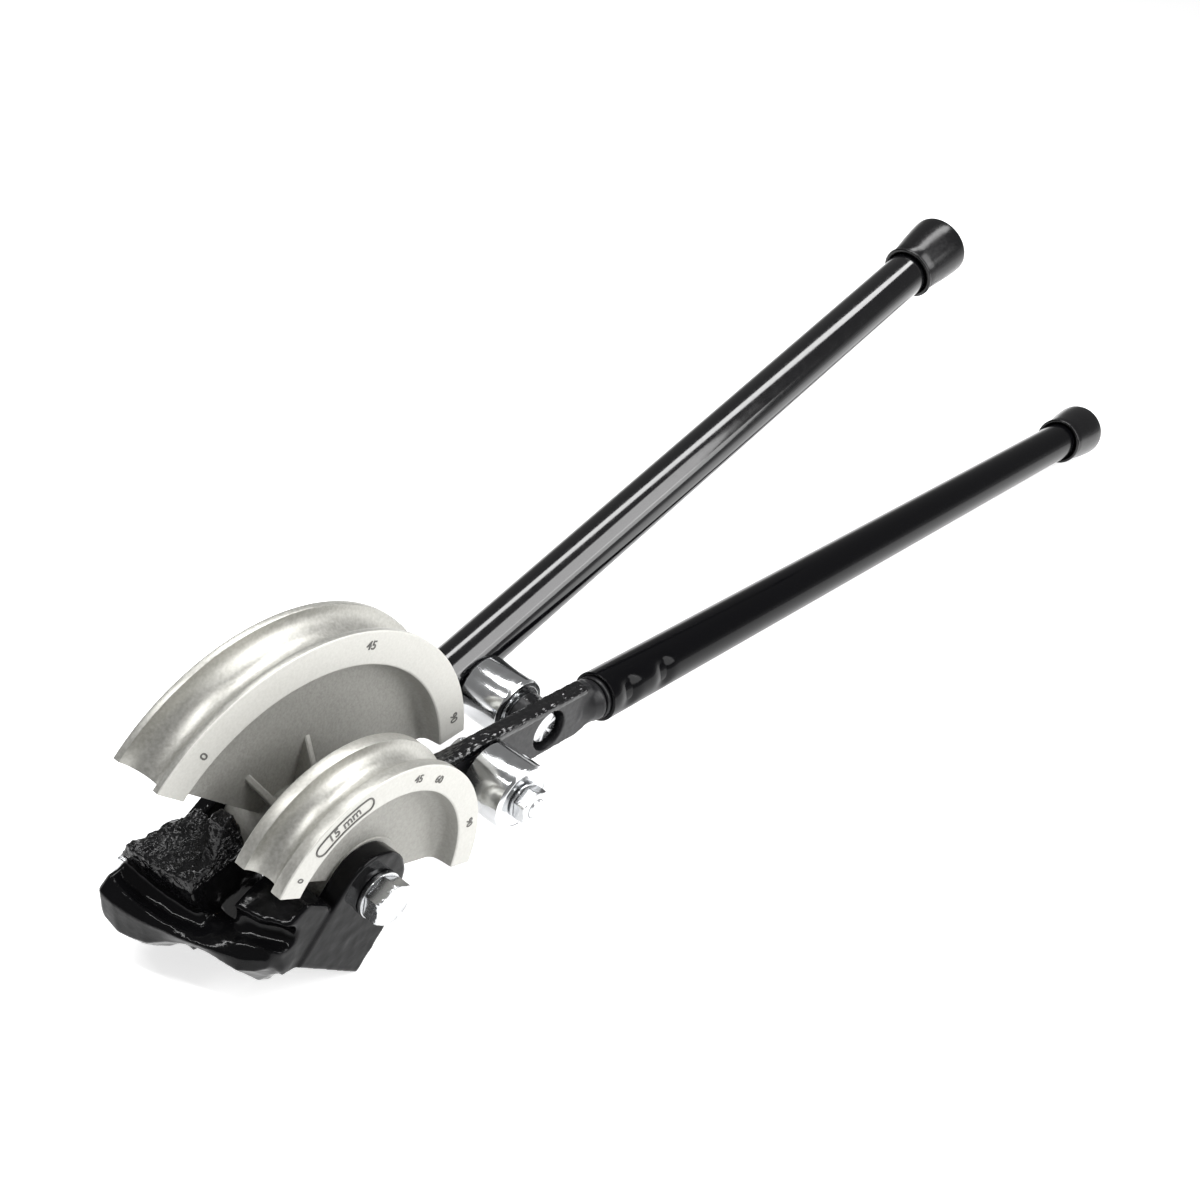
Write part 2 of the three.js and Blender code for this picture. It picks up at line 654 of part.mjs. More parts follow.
// A steel roller with chamfered rims, a bore for its bush and a recess in its far face.
function roller(name, radius, y0, y1, [place, lift], recessDepth) {
  const bore = rollerBoltRadius + rollerPlay + rollerBushWall + gap;
  const profile = [
    [bore, y0], [radius - rollerChamfer, y0], [radius, y0 + rollerChamfer],
    [radius, y1 - rollerChamfer], [radius - rollerChamfer, y1], [bore, y1], [bore, y0],
  ];
  const solid = turned(profile, place, lift, fineSteps);
  const recess = bar(farRecessRadius, y1 - recessDepth, y1 + overrun, place, lift);
  return meshOf(name, recessDepth > 0 ? solid.subtract(recess) : solid, 'zinc');
}

function rollerBush(name, y0, y1, [place, lift]) {
  const inner = rollerBoltRadius + rollerPlay;
  return meshOf(name, ring(inner, inner + rollerBushWall, y0, y1, place, lift), 'bronze');
}

// Near roller: bolt through the arm from its far side, nut outside the roller.
function nearRollerPieces() {
  const far = armNear - nearRollerToArm;
  const near = far - nearRollerLength;
  const washerNear = near - gap - rollerWasherThickness;
  const nutFace = washerNear - gap;
  const nutEnd = nutFace - nearNutHeight;
  const [x, z] = [nearRollerPlace, nearRollerLift];
  const headWasher = armFar + gap;
  const headFace = headWasher + rollerWasherThickness + gap;
  const bolt = bar(rollerBoltRadius, nutEnd - nearBoltStickOut, headFace + gap, x, z).add(
    hexHead(rollerHeadAcrossFlats, headFace, headFace + rollerHeadHeight, 1, x, z),
  );
  const nut = cut(hexHead(rollerHeadAcrossFlats, nutEnd, nutFace, -1, x, z, nearNutTurn), [
    bar(rollerBoltRadius + gap, nutEnd - overrun, nutFace + overrun, x, z),
  ]);
  const bore = rollerBoltRadius + gap;
  const outer = ring(bore, rollerWasherRadius, washerNear, washerNear + rollerWasherThickness, x, z);
  const back = ring(bore, rollerWasherRadius, headWasher, headWasher + rollerWasherThickness, x, z);
  return {
    fixed: [
      meshOf('near_roller_bolt', bolt, 'zinc'),
      meshOf('near_roller_nut', nut, 'zinc'),
      meshOf('near_roller_nut_washer', outer, 'zinc'),
      meshOf('near_roller_head_washer', back, 'zinc'),
    ],
    turning: [
      roller('near_roller', nearRollerRadius, near, far, [x, z], 0),
      rollerBush('near_roller_bush', near, far, [x, z]),
    ],
  };
}

// Far roller: bolt head sunk in the arm, thin round nut sunk in the roller.
function farRollerPieces() {
  const washerStart = armFar + farBossLength + gap;
  const near = washerStart + rollerWasherThickness + gap;
  const far = near + farRollerLength;
  const recessFloor = far - farRecessDepth;
  const nutFace = recessFloor + gap;
  const nutEnd = nutFace + farNutHeight;
  const [x, z] = [farRollerPlace, farRollerLift];
  const headFace = armNear + counterboreDepth - gap;
  const bolt = bar(rollerBoltRadius, headFace - gap, nutEnd, x, z).add(
    hexHead(farBoltHeadAcrossFlats, headFace - farBoltHeadHeight, headFace, -1, x, z),
  );
  const bore = rollerBoltRadius + gap;
  const washer = ring(bore, rollerWasherRadius, washerStart, washerStart + rollerWasherThickness, x, z);
  return {
    fixed: [
      meshOf('far_roller_bolt', bolt, 'zinc'),
      meshOf('far_roller_nut', ring(bore, farNutRadius, nutFace, nutEnd, x, z), 'zinc'),
      meshOf('far_roller_washer', washer, 'zinc'),
    ],
    turning: [
      roller('far_roller', farRollerRadius, near, far, [x, z], farRecessDepth),
      rollerBush('far_roller_bush', near, recessFloor, [x, z]),
    ],
  };
}

// Assembly

function stockGroup() {
  const group = new THREE.Group();
  group.add(hookCasting(), stockArm(), ...stockArmFasteners(), smallFormer(), bigFormer());
  group.add(formerPin('small_former_pin', smallHubNear));
  group.add(formerPin('large_former_pin', bigHubFar));
  group.add(...pivotFastening());
  return group;
}

function stockHandleGroup() {
  const group = new THREE.Group();
  const end = stockTubeStart + stockTubeLength;
  group.rotation.y = -stockAngle;
  group.add(tube('stock_tube', stockTubeRadius, stockTubeWall, stockTubeStart, end, stockTubeY, -stockDrop));
  const capStart = end + gap + capEndWall - capLength;
  group.add(endCap('stock_tube_cap', stockTubeRadius, capStart, stockTubeY, -stockDrop));
  return group;
}

function leverGroup() {
  const group = new THREE.Group();
  const nearPieces = nearRollerPieces();
  const farPieces = farRollerPieces();
  group.rotation.y = -leverAngle;
  group.add(leverArm(), ...leverPivotPieces());
  group.add(tube('lever_tube', leverTubeRadius, leverTubeWall, leverTubeStart, leverTubeEnd, 0, leverLift));
  group.add(endCap('lever_tube_cap', leverTubeRadius, leverCapStart, 0, leverLift));
  group.add(...nearPieces.fixed, ...nearPieces.turning, ...farPieces.fixed, ...farPieces.turning);
  return group;
}

const tilted = new THREE.Group();
tilted.rotation.y = -floorTilt;
tilted.add(stockGroup(), stockHandleGroup(), leverGroup());

// The origin is the middle of the bender's box, on the surface that it lies on.
const bender = new THREE.Group();
bender.add(tilted);
bender.updateMatrixWorld(true);
const box = new THREE.Box3().setFromObject(bender, true);
bender.position.set(-(box.min.x + box.max.x) / 2, -(box.min.y + box.max.y) / 2, -box.min.z);

export default bender;
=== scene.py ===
"""Hand pipe bender: dressed pieces, finishes, floor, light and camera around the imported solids."""
import json
import math

import bpy
import numpy as np
from mathutils import Matrix, Quaternion, Vector


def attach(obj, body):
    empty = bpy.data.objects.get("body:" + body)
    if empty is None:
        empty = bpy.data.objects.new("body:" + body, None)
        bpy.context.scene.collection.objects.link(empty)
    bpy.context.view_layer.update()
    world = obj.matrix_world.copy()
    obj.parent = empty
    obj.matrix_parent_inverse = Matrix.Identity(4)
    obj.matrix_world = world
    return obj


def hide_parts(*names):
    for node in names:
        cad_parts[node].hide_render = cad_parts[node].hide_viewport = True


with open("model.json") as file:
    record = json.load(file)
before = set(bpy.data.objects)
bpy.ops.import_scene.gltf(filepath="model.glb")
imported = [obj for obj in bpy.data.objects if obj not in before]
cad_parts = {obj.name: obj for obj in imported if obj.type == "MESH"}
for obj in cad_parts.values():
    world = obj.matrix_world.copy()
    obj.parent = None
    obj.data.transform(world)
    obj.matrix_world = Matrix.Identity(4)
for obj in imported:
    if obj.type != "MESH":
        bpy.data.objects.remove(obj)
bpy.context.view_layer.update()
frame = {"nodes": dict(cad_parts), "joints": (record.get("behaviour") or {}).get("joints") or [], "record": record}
RECORD = frame["record"]
SLOT_OF = {row["node"]: row["material_slot"] for row in RECORD["subparts"]}
BODY_OF = {node: body for body, nodes in RECORD["behaviour"]["bodies"].items() for node in nodes}
SWING = next(joint for joint in frame["joints"] if joint["name"] == "lever_swing")

# Places, in millimetres and radians, from the pivot. X runs along the level stock, Y along the pivot
# away from the viewer, and Z up. Places on the lever and the stock tube hold before their own turns.
MM = 0.001
PIVOT = np.array(SWING["pos_m"], float)
TILT = math.radians(13.5317)
LEVER_TURN = math.radians(-15.6)
STOCK_TURN = math.radians(5.57)
CHEEK_TURN = math.radians(218)
NEAR_CHEEK = (-34.6, -24.3)
FAR_CHEEK = (44.75, 52.75)
PIVOT_RADIUS = 6
PIVOT_BORE = 6.3
BOLT_RADIUS = 5
BOLT_BORE = 5.3
THREAD_PITCH = 1.2
GAP = 0.3
HUB_RADIUS = 22
STOCK_BOLTS = ((-40, -2), (-62, -1))
NEAR_ROLLER_AT = (98, 1.3)
FAR_ROLLER_AT = (148, 2.6)
TUBE_RADIUS = 14
TUBE_WALL = 1.6
SPIGOT_RADIUS = 12.0
STOCK_TUBE = (62, 591)
STOCK_TUBE_Y = FAR_CHEEK[0] + TUBE_RADIUS
STOCK_TUBE_Z = -44.3
LEVER_TUBE = (190.3, 794.3)
LEVER_TUBE_Z = 2.8


def placed(points, turn=0.0):
    """Millimetre points turned about the pivot by turn and the tool's tilt, then moved to the pivot, in
    metres."""
    a = turn + TILT
    x, y, z = points[..., 0], points[..., 1], points[..., 2]
    turned = np.stack([x * math.cos(a) - z * math.sin(a), y, x * math.sin(a) + z * math.cos(a)], -1)
    return turned * MM + PIVOT


# Finishes

def plain_finish(name, base, rough, metal=0.0, coat=0.0, specular=0.5):
    """A plain material and its shader, ready for a pattern on the object's own coordinates."""
    made = bpy.data.materials.new(name)
    made.use_nodes = True
    shader = made.node_tree.nodes["Principled BSDF"]
    shader.inputs["Base Color"].default_value = (*base, 1)
    shader.inputs["Roughness"].default_value = rough
    shader.inputs["Metallic"].default_value = metal
    shader.inputs["Specular IOR Level"].default_value = specular
    shader.inputs["Coat Weight"].default_value = coat
    shader.inputs["Coat Roughness"].default_value = 0.05
    return made, shader


def lift_surface(tree, noise, shader, bump, distance):
    """Bump from the noise, with its strength and its depth in metres."""
    lift = tree.nodes.new("ShaderNodeBump")
    lift.inputs["Strength"].default_value = bump
    lift.inputs["Distance"].default_value = distance
    tree.links.new(noise, lift.inputs["Height"])
    tree.links.new(lift.outputs["Normal"], shader.inputs["Normal"])


def spread_roughness(tree, noise, shader, low, high):
    """Roughness that follows the noise from low to high over the middle of the noise's range."""
    spread = tree.nodes.new("ShaderNodeMapRange")
    spread.inputs["From Min"].default_value = 0.3
    spread.inputs["From Max"].default_value = 0.7
    spread.inputs["To Min"].default_value = low
    spread.inputs["To Max"].default_value = high
    tree.links.new(noise, spread.inputs["Value"])
    tree.links.new(spread.outputs["Result"], shader.inputs["Roughness"])


def spread_colour(tree, noise, shader, dark, light):
    """Base colour that follows the noise from dark to light."""
    ramp = tree.nodes.new("ShaderNodeValToRGB")
    first, last = ramp.color_ramp.elements
    first.position = 0.32
    first.color = (*dark, 1)
    last.position = 0.68
    last.color = (*light, 1)
    tree.links.new(noise, ramp.inputs["Fac"])
    tree.links.new(ramp.outputs["Color"], shader.inputs["Base Color"])


def grain(finish, scale, bump, distance, roughness, detail=6, colours=None, stretch=None):
    """The finish with noise on object coordinates, which lifts the surface and moves its roughness, and its
    colour where two colours are given. Stretch scales the coordinates before the noise reads them."""
    made, shader = finish
    tree = made.node_tree
    source = tree.nodes.new("ShaderNodeTexCoord").outputs["Object"]
    if stretch:
        mapping = tree.nodes.new("ShaderNodeMapping")
        mapping.inputs["Scale"].default_value = stretch
        tree.links.new(source, mapping.inputs["Vector"])
        source = mapping.outputs["Vector"]
    texture = tree.nodes.new("ShaderNodeTexNoise")
    texture.inputs["Scale"].default_value = scale
    texture.inputs["Detail"].default_value = detail
    tree.links.new(source, texture.inputs["Vector"])
    noise = texture.outputs["Fac"]
    lift_surface(tree, noise, shader, bump, distance)
    spread_roughness(tree, noise, shader, *roughness)
    if colours:
        spread_colour(tree, noise, shader, *colours)
    return made


def gloss_black_paint():
    """Stock tube: new gloss paint with a thin clear coat."""
    finish = plain_finish("gloss black paint", (0.002, 0.002, 0.0025), 0.12, coat=0.35)
    return grain(finish, 200, 0.03, 0.0004, (0.1, 0.16))


def handled_black_paint():
    """Lever tube: the same paint, dulled by hands."""
    finish = plain_finish("handled black paint", (0.002, 0.002, 0.0025), 0.12, specular=0.11)
    return grain(finish, 200, 0.03, 0.0004, (0.1, 0.16))


def casting_paint():
    """Hook casting and stock arm: wet-looking paint over a fine cast skin."""
    finish = plain_finish("black paint over casting", (0.004, 0.004, 0.0045), 0.2, specular=0.12)
    return grain(finish, 330, 0.12, 0.0006, (0.06, 0.13), detail=8)


def rough_top_paint():
    """Top of the hook's block: paint over a coarse cast skin."""
    finish = plain_finish("black paint over rough casting", (0.003, 0.003, 0.0035), 0.12, specular=0.3)
    return grain(finish, 340, 0.8, 0.0014, (0.08, 0.2), detail=3)


def streaked_edge_paint():
    """Lever arm's edge: paint over a sheared edge whose streaks run along the arm."""
    finish = plain_finish("black paint over streaked edge", (0.003, 0.003, 0.0035), 0.12, specular=0.6)
    return grain(finish, 300, 0.7, 0.0012, (0.08, 0.2), detail=3, stretch=(0.22, 1, 1))


def satin_black_paint():
    """Lever arm's flat sides."""
    finish = plain_finish("satin black paint", (0.008, 0.008, 0.009), 0.4, specular=0.28)
    return grain(finish, 420, 0.2, 0.0004, (0.3, 0.45), detail=8)


def cast_web_aluminium():
    """Formers' webs, hubs and ribs: the grey skin that the mould leaves."""
    finish = plain_finish("cast web aluminium", (0.36, 0.355, 0.33), 0.6, metal=0.3)
    colours = ((0.32, 0.315, 0.29), (0.4, 0.395, 0.37))
    return grain(finish, 700, 0.35, 0.0005, (0.52, 0.66), detail=8, colours=colours)


def faced_aluminium():
    """Formers' rims: pale metal, faced and blasted."""
    finish = plain_finish("faced aluminium", (0.6, 0.595, 0.56), 0.5, metal=0.2)
    colours = ((0.57, 0.565, 0.53), (0.63, 0.625, 0.59))
    return grain(finish, 800, 0.16, 0.0003, (0.44, 0.56), detail=8, colours=colours)


def groove_aluminium():
    """Formers' grooves: turned metal, polished by pipes."""
    finish = plain_finish("worn groove aluminium", (0.44, 0.435, 0.405), 0.4, metal=0.75)
    colours = ((0.39, 0.385, 0.355), (0.49, 0.485, 0.455))
    return grain(finish, 700, 0.1, 0.0003, (0.34, 0.46), detail=8, colours=colours)


def bright_zinc():
    """Rollers."""
    finish = plain_finish("bright zinc plate", (0.66, 0.67, 0.68), 0.12, metal=1.0)
    return grain(finish, 160, 0.08, 0.0004, (0.08, 0.2))


def plain_zinc():
    """Bolts, nuts and washers."""
    finish = plain_finish("plain zinc plate", (0.6, 0.61, 0.62), 0.24, metal=1.0)
    return grain(finish, 300, 0.02, 0.0002, (0.2, 0.28))


def cap_rubber():
    """Handles' end caps."""
    finish = plain_finish("moulded black rubber", (0.004, 0.004, 0.0045), 0.22, specular=0.35)
    return grain(finish, 500, 0.06, 0.0003, (0.17, 0.26))


def sintered_bronze():
    """Bushes."""
    finish = plain_finish("sintered bronze", (0.42, 0.25, 0.09), 0.4, metal=0.9)
    return grain(finish, 900, 0.1, 0.0002, (0.34, 0.46))


def ring_nylon():
    """Locking ring of the pivot nut."""
    finish = plain_finish("locking ring nylon", (0.03, 0.08, 0.25), 0.45)
    return grain(finish, 500, 0.05, 0.0002, (0.4, 0.5))


def mark_painted_shade():
    """Numbers and the oval on the formers: real raised marks, whose dark grey is painted shade for their low
    relief.
    """
    finish = plain_finish("cast mark painted shade", (0.13, 0.128, 0.12), 0.6, metal=0.3)
    return grain(finish, 600, 0.1, 0.0002, (0.5, 0.7))


STOCK_PAINT = gloss_black_paint()
LEVER_PAINT = handled_black_paint()
CASTING = casting_paint()
ROUGH_TOP = rough_top_paint()
STREAKED = streaked_edge_paint()
ARM_PAINT = satin_black_paint()
WEB = cast_web_aluminium()
RIM = faced_aluminium()
GROOVE = groove_aluminium()
ROLLER_ZINC = bright_zinc()
BOLT_ZINC = plain_zinc()
RUBBER = cap_rubber()
BRONZE = sintered_bronze()
NYLON = ring_nylon()
# The marks' dark grey is painted shade for their low relief.
MARK = mark_painted_shade()


# Meshes. A shell is an array of points and a list of face groups, each an array with one row for a face.

def new_object(name, data):
    """An object for the data, linked to the scene."""
    made = bpy.data.objects.new(name, data)
    bpy.context.scene.collection.objects.link(made)
    return made


def belong(piece, node):
    """The piece rides on the node's body."""
    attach(piece, BODY_OF[node])


def make_piece(name, points, groups, finishes, node, face_finish=None, sharp=40):
    """A closed mesh at the origin with its finishes, smooth but for edges sharper than the given angle. It takes
    the body of the node that it belongs to."""
    data = bpy.data.meshes.new(name)
    data.from_pydata(points, [], [face for corners in groups for face in corners.tolist()])
    for made in finishes:
        data.materials.append(made)
    if face_finish is not None:
        data.polygons.foreach_set("material_index", np.asarray(face_finish, np.int32))
    data.update()
    data.validate()
    piece = new_object(name, data)
    data.shade_smooth()
    data.set_sharp_from_angle(angle=math.radians(sharp))
    belong(piece, node)
    return piece


def stand_for(node, points, groups, finishes, face_finish=None, sharp=40):
    """A piece that takes the place of a node."""
    piece = make_piece(f"{node}_look", points, groups, finishes, node, face_finish, sharp)
    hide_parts(node)


def dress(node, shells, finish, turn=0.0, sharp=32):
    """Shells of one finish that take the place of a node."""
    points, groups = joined(shells)
    stand_for(node, placed(points, turn), groups, [finish], None, sharp)


def grid_faces(rows, columns, close_rows, close_columns):
    """Quads between neighbouring points of a rows by columns grid, going round where a side is closed."""
    r = np.arange(rows if close_rows else rows - 1)
    c = np.arange(columns if close_columns else columns - 1)
    i, j = np.meshgrid(r, c, indexing="ij")
    i2 = (i + 1) % rows
    j2 = (j + 1) % columns
    quads = np.stack([i * columns + j, i * columns + j2, i2 * columns + j2, i2 * columns + j], -1)
    return quads.reshape(-1, 4)


def end_caps(count, last_start, first_reversed):
    """The faces that close a tube of rings: the first ring and the last one, wound opposite ways."""
    first = np.arange(count)
    last = last_start + np.arange(count)
    return np.stack([first[::-1], last]) if first_reversed else np.stack([first, last[::-1]])


def outward(points, groups):
    """The face groups turned so that the shell's volume is above zero. The volume goes with the sum, over
    each face's fan of triangles, of its first corner times the cross product of the other two."""
    volume = 0.0
    for corners in groups:
        fan = np.cross(points[corners[:, 1:-1]], points[corners[:, 2:]])
        volume += np.sum(points[corners[:, :1]] * fan)
    return groups if volume > 0 else [corners[:, ::-1] for corners in groups]


def joined(shells):
    """Several closed shells as one, each turned outwards."""
    groups = []
    count = 0
    for points, faces in shells:
        groups += [corners + count for corners in outward(points, faces)]
        count += len(points)
    return np.concatenate([points for points, _ in shells]), groups


def weld(points, quads):
    """The shell with points that share a place made one. A quad with one side of no length becomes a
    triangle, and one with more of them is left out."""
    same_place = 1e-4
    keys = np.round(points / same_place).astype(np.int64)
    _, first, index = np.unique(keys, axis=0, return_index=True, return_inverse=True)
    quads = index.reshape(-1)[quads]
    pinch = quads == np.roll(quads, -1, 1)
    pinches = pinch.sum(1)
    triangles = quads[pinches == 1][~pinch[pinches == 1]].reshape(-1, 3)
    return points[first], [quads[pinches == 0], triangles]


def rounded(profile, radius, steps=4):
    """A closed polygon with each corner swapped for a short arc: the corner's neighbours at the given
    distance, joined by the quadratic curve that the corner pulls. A corner with no radius stays."""
    corner = np.asarray(profile, float)
    back = np.roll(corner, 1, 0) - corner
    ahead = np.roll(corner, -1, 0) - corner
    back_length = np.linalg.norm(back, axis=1)
    ahead_length = np.linalg.norm(ahead, axis=1)
    most_share = 0.45
    size = np.minimum(radius, most_share * np.minimum(back_length, ahead_length))
    start = corner + back * (size / back_length)[:, None]
    end = corner + ahead * (size / ahead_length)[:, None]
    t = np.linspace(0, 1, steps + 1)[:, None, None]
    arcs = (1 - t) ** 2 * start + 2 * t * (1 - t) * corner + t ** 2 * end
    keep = (size > 0)[:, None] | (np.arange(steps + 1) == 0)
    return arcs.transpose(1, 0, 2)[keep]


def lathe(profile, centre=(0, 0), along="y", steps=96, start=0.0, end=None):
    """Points of a closed profile of (radius, place) carried round an axis: x and z go round the centre for an
    axis along Y, and y and z for one along X. With an end angle the profile stops there. Gives the points and
    the quads."""
    profile = np.asarray(profile, float)
    whole = end is None
    last = start + 2 * math.pi if whole else end
    angles = np.linspace(start, last, steps + (0 if whole else 1), endpoint=not whole)
    c = np.cos(angles)[:, None]
    s = np.sin(angles)[:, None]
    radius = profile[:, 0][None]
    place = profile[:, 1][None] + 0 * c
    first, second = centre[0] + radius * c, centre[1] + radius * s
    grid = np.stack([first, place, second] if along == "y" else [place, first, second], -1)
    return grid.reshape(-1, 3), grid_faces(len(angles), len(profile), whole, True)


def turned_shell(profile, centre=(0, 0), along="y", steps=96):
    """A whole turned solid from a closed profile."""
    return weld(*lathe(profile, centre, along, steps))


# Formers

SMALL_FORMER = dict(radius=64.3, near=-34.4, far=-5.5, flange=6.2, wall=13, web=6, depth=11.2, steps=150,
                    start=math.radians(-31), end=math.radians(137), hub=(-24.0, -7.1))
LARGE_FORMER = dict(radius=104.2, near=14.45, far=43.95, flange=3.7, wall=17, web=7, depth=11, steps=190,
                    start=math.radians(-9), end=math.radians(126), hub=(7.1, 44.45))
LARGE_RIB_ANGLES = (math.radians(108), math.radians(65))
LARGE_RIB_NEAR = 7.5
LARGE_RIB_REACH = 47


def former_side(radius, inner, flange, face, web, inward):
    """One side of a former's section, from the web's root out to the groove's mouth. inward is 1 where the
    web lies further along Y than the rim's face, and -1 where it lies nearer."""
    root, draft, web_fillet, inner_edge, lip = 8, 1.8, 5.0, 1.0, 0.7
    mouth = face + inward * flange
    corners = [[root, web], [inner - draft, web], [inner, face], [radius, face], [radius, mouth]]
    side = rounded(corners, [0, web_fillet, inner_edge, lip, 0], 5)[:-1]
    eased_mouth = [[radius, mouth - 0.8 * inward], [radius - 0.25, mouth - 0.1 * inward]]
    return np.concatenate([side, eased_mouth])


def former_section(radius, near, far, flange, wall, web, depth):
    """The closed section of (radius, y) and the finish of each of its sides: 0 for the web, 1 for the rim, 2
    for the groove. The groove is a half circle whose centre lies on the rim's radius."""
    inner = radius - wall
    near_side = former_side(radius, inner, flange, near, near + depth, 1)
    far_side = former_side(radius, inner, flange, far, near + depth + web, -1)[::-1]
    t = np.linspace(0, math.pi, 29)[1:-1]
    groove = (far - near) / 2 - flange
    arc = np.stack([radius - groove * np.sin(t), (near + far) / 2 - groove * np.cos(t)], 1)
    section = np.concatenate([near_side, arc, far_side])
    middle = (section[:, 0] + np.roll(section[:, 0], -1)) / 2
    finish = np.where(middle > inner - 0.1, 1, 0)
    land_start = len(near_side) - 3
    land_end = len(near_side) + len(arc) + 3
    finish[land_start:land_end] = 2
    return section, finish


def former(node, ribs, steps, start, end, hub, **sizes):
    """The section swept between two angles, with a full round hub and its ribs."""
    section, finish = former_section(**sizes)
    points, quads = lathe(section, steps=steps, start=start, end=end)
    sweep = (points, [quads, end_caps(len(section), steps * len(section), False)])
    low, high = hub
    hub_corners = [[PIVOT_BORE, low], [HUB_RADIUS, low], [HUB_RADIUS, high], [PIVOT_BORE, high]]
    points, groups = joined([sweep, turned_shell(rounded(hub_corners, 0.8), steps=80)] + ribs)
    face_finish = np.zeros(sum(len(corners) for corners in groups), int)
    face_finish[:len(quads)] = finish[np.arange(len(quads)) % len(section)]
    stand_for(node, placed(points), groups, [WEB, RIM, GROOVE], face_finish, 32)


def rib(angle, near_y, web_y, reach):
    """A straight rib from the hub to the web: its side is a slope that falls from near_y at the hub to the
    web at reach, and four copies of that side across its thickness, the outer two a little lower, round its
    long edge."""
    inside, top, thickness, edge, sunk = 19, 22.4, 3.2, 0.6, 3
    root_y = web_y + sunk
    side = np.array([[inside, near_y], [top, near_y], [reach, web_y], [reach, root_y], [inside, root_y]])
    half = thickness / 2
    offset = np.array([-half, -half + edge, half - edge, half])[:, None]
    drop = np.array([edge, 0.0, 0.0, edge])[:, None] * np.array([1, 1, 1, 0, 0])
    x = side[:, 0] * math.cos(angle) - offset * math.sin(angle)
    z = side[:, 0] * math.sin(angle) + offset * math.cos(angle)
    grid = np.stack([x, side[:, 1] + drop, z], -1)
    caps = end_caps(len(side), (len(grid) - 1) * len(side), True)
    return grid.reshape(-1, 3), [grid_faces(len(grid), len(side), False, True), caps]


def make_formers():
    """Both formers, and the large one's two ribs."""
    web_y = LARGE_FORMER["near"] + LARGE_FORMER["depth"]
    ribs = [rib(angle, LARGE_RIB_NEAR, web_y, LARGE_RIB_REACH) for angle in LARGE_RIB_ANGLES]
    former("small_former", [], **SMALL_FORMER)
    former("large_former", ribs, **LARGE_FORMER)


# Bolts, nuts and washers

def hexagon_head(across, y0, y1, centre, turn, inner=0.0, open_towards=-1):
    """A hexagon head: each point's radius is the smaller of the hexagon's edge at its angle and a cone that
    widens from the outer face, so the corners are eased where the cone cuts them. open_towards is the outer
    face's side."""
    full_height, cone_share, cone_slope = 5, 0.97, 1.75
    angles = np.linspace(0, 2 * math.pi, 120, endpoint=False)
    side = math.pi / 3
    edge = across / 2 / np.cos((angles - turn + side / 2) % side - side / 2)
    height = y1 - y0
    levels = np.array([0.0, 0.0, 0.25, 0.7, 1.4, 2.2]) * min(1.0, height / full_height)
    cone = across / 2 * cone_share + levels * cone_slope
    bore = np.full((1, len(angles)), inner)
    radius = np.concatenate([bore, np.minimum(edge, cone[1:, None]), edge[None], bore])
    depth = np.concatenate([levels, [height, height]])[:, None] + 0 * radius
    y = y0 + depth if open_towards < 0 else y1 - depth
    grid = np.stack([centre[0] + radius * np.cos(angles), y, centre[1] + radius * np.sin(angles)], -1)
    return weld(grid.reshape(-1, 3), grid_faces(len(grid), len(angles), inner > 0, True))


def rod(radius, y0, y1, centre=(0, 0)):
    """A round bar along Y with chamfered ends."""
    chamfer = 0.8
    small = radius - chamfer
    profile = [[0, y0], [small, y0], [radius, y0 + chamfer], [radius, y1 - chamfer], [small, y1], [0, y1]]
    return turned_shell(profile, centre, steps=64)


def threaded(radius, y0, y1, centre=(0, 0)):
    """The end of a bolt: the radius goes up and down once for each pitch, as rings of V shape, with a
    chamfered end."""
    depth_share, chamfer_share = 0.45, 1.6
    turns = max(2, int(abs(y1 - y0) / THREAD_PITCH))
    depth = THREAD_PITCH * depth_share
    places = np.linspace(y0, y1, turns * 2 + 1)[1:-1]
    flanks = np.stack([radius - depth * (np.arange(len(places)) % 2), places], 1)
    start = [[0, y0], [radius - depth * chamfer_share, y0]]
    end = [[radius - depth, y1], [0, y1]]
    return turned_shell(np.concatenate([start, flanks, end]), centre, steps=64)


def washer(inner, outer, y0, y1, centre=(0, 0)):
    """A ring with eased edges."""
    profile = [[inner, y0], [outer, y0], [outer, y1], [inner, y1]]
    return turned_shell(rounded(profile, 0.35, 2), centre, steps=88)


def make_pivot_fastening():
    """The pivot bolt with its head towards the viewer, and the nut behind the far cheek, each over its
    washer."""
    across_head, across_nut, head_height, nut_height, washer_height = 20, 19, 8.2, 10.5, 2.4
    washer_back = NEAR_CHEEK[0] - GAP
    washer_front = washer_back - washer_height
    head_back = washer_front - GAP
    far_washer = FAR_CHEEK[1] + GAP
    nut_front = far_washer + washer_height + GAP
    thread_start = FAR_CHEEK[1] + 13
    thread_end = FAR_CHEEK[1] + 18.6
    head = hexagon_head(across_head, head_back - head_height, head_back, (0, 0), math.radians(44.5))
    shank = rod(PIVOT_RADIUS, head_back - 1, thread_start + 1)
    thread = threaded(PIVOT_RADIUS, thread_start, thread_end)
    nut = hexagon_head(across_nut, nut_front, nut_front + nut_height, (0, 0), 0.3, PIVOT_BORE, 1)
    dress("pivot_bolt", [head, shank, thread], BOLT_ZINC)
    dress("pivot_head_washer", [washer(PIVOT_BORE, 11.8, washer_front, washer_back)], BOLT_ZINC)
    dress("pivot_nut_washer", [washer(PIVOT_BORE, 13, far_washer, far_washer + washer_height)], BOLT_ZINC)
    dress("pivot_nut", [nut], BOLT_ZINC)


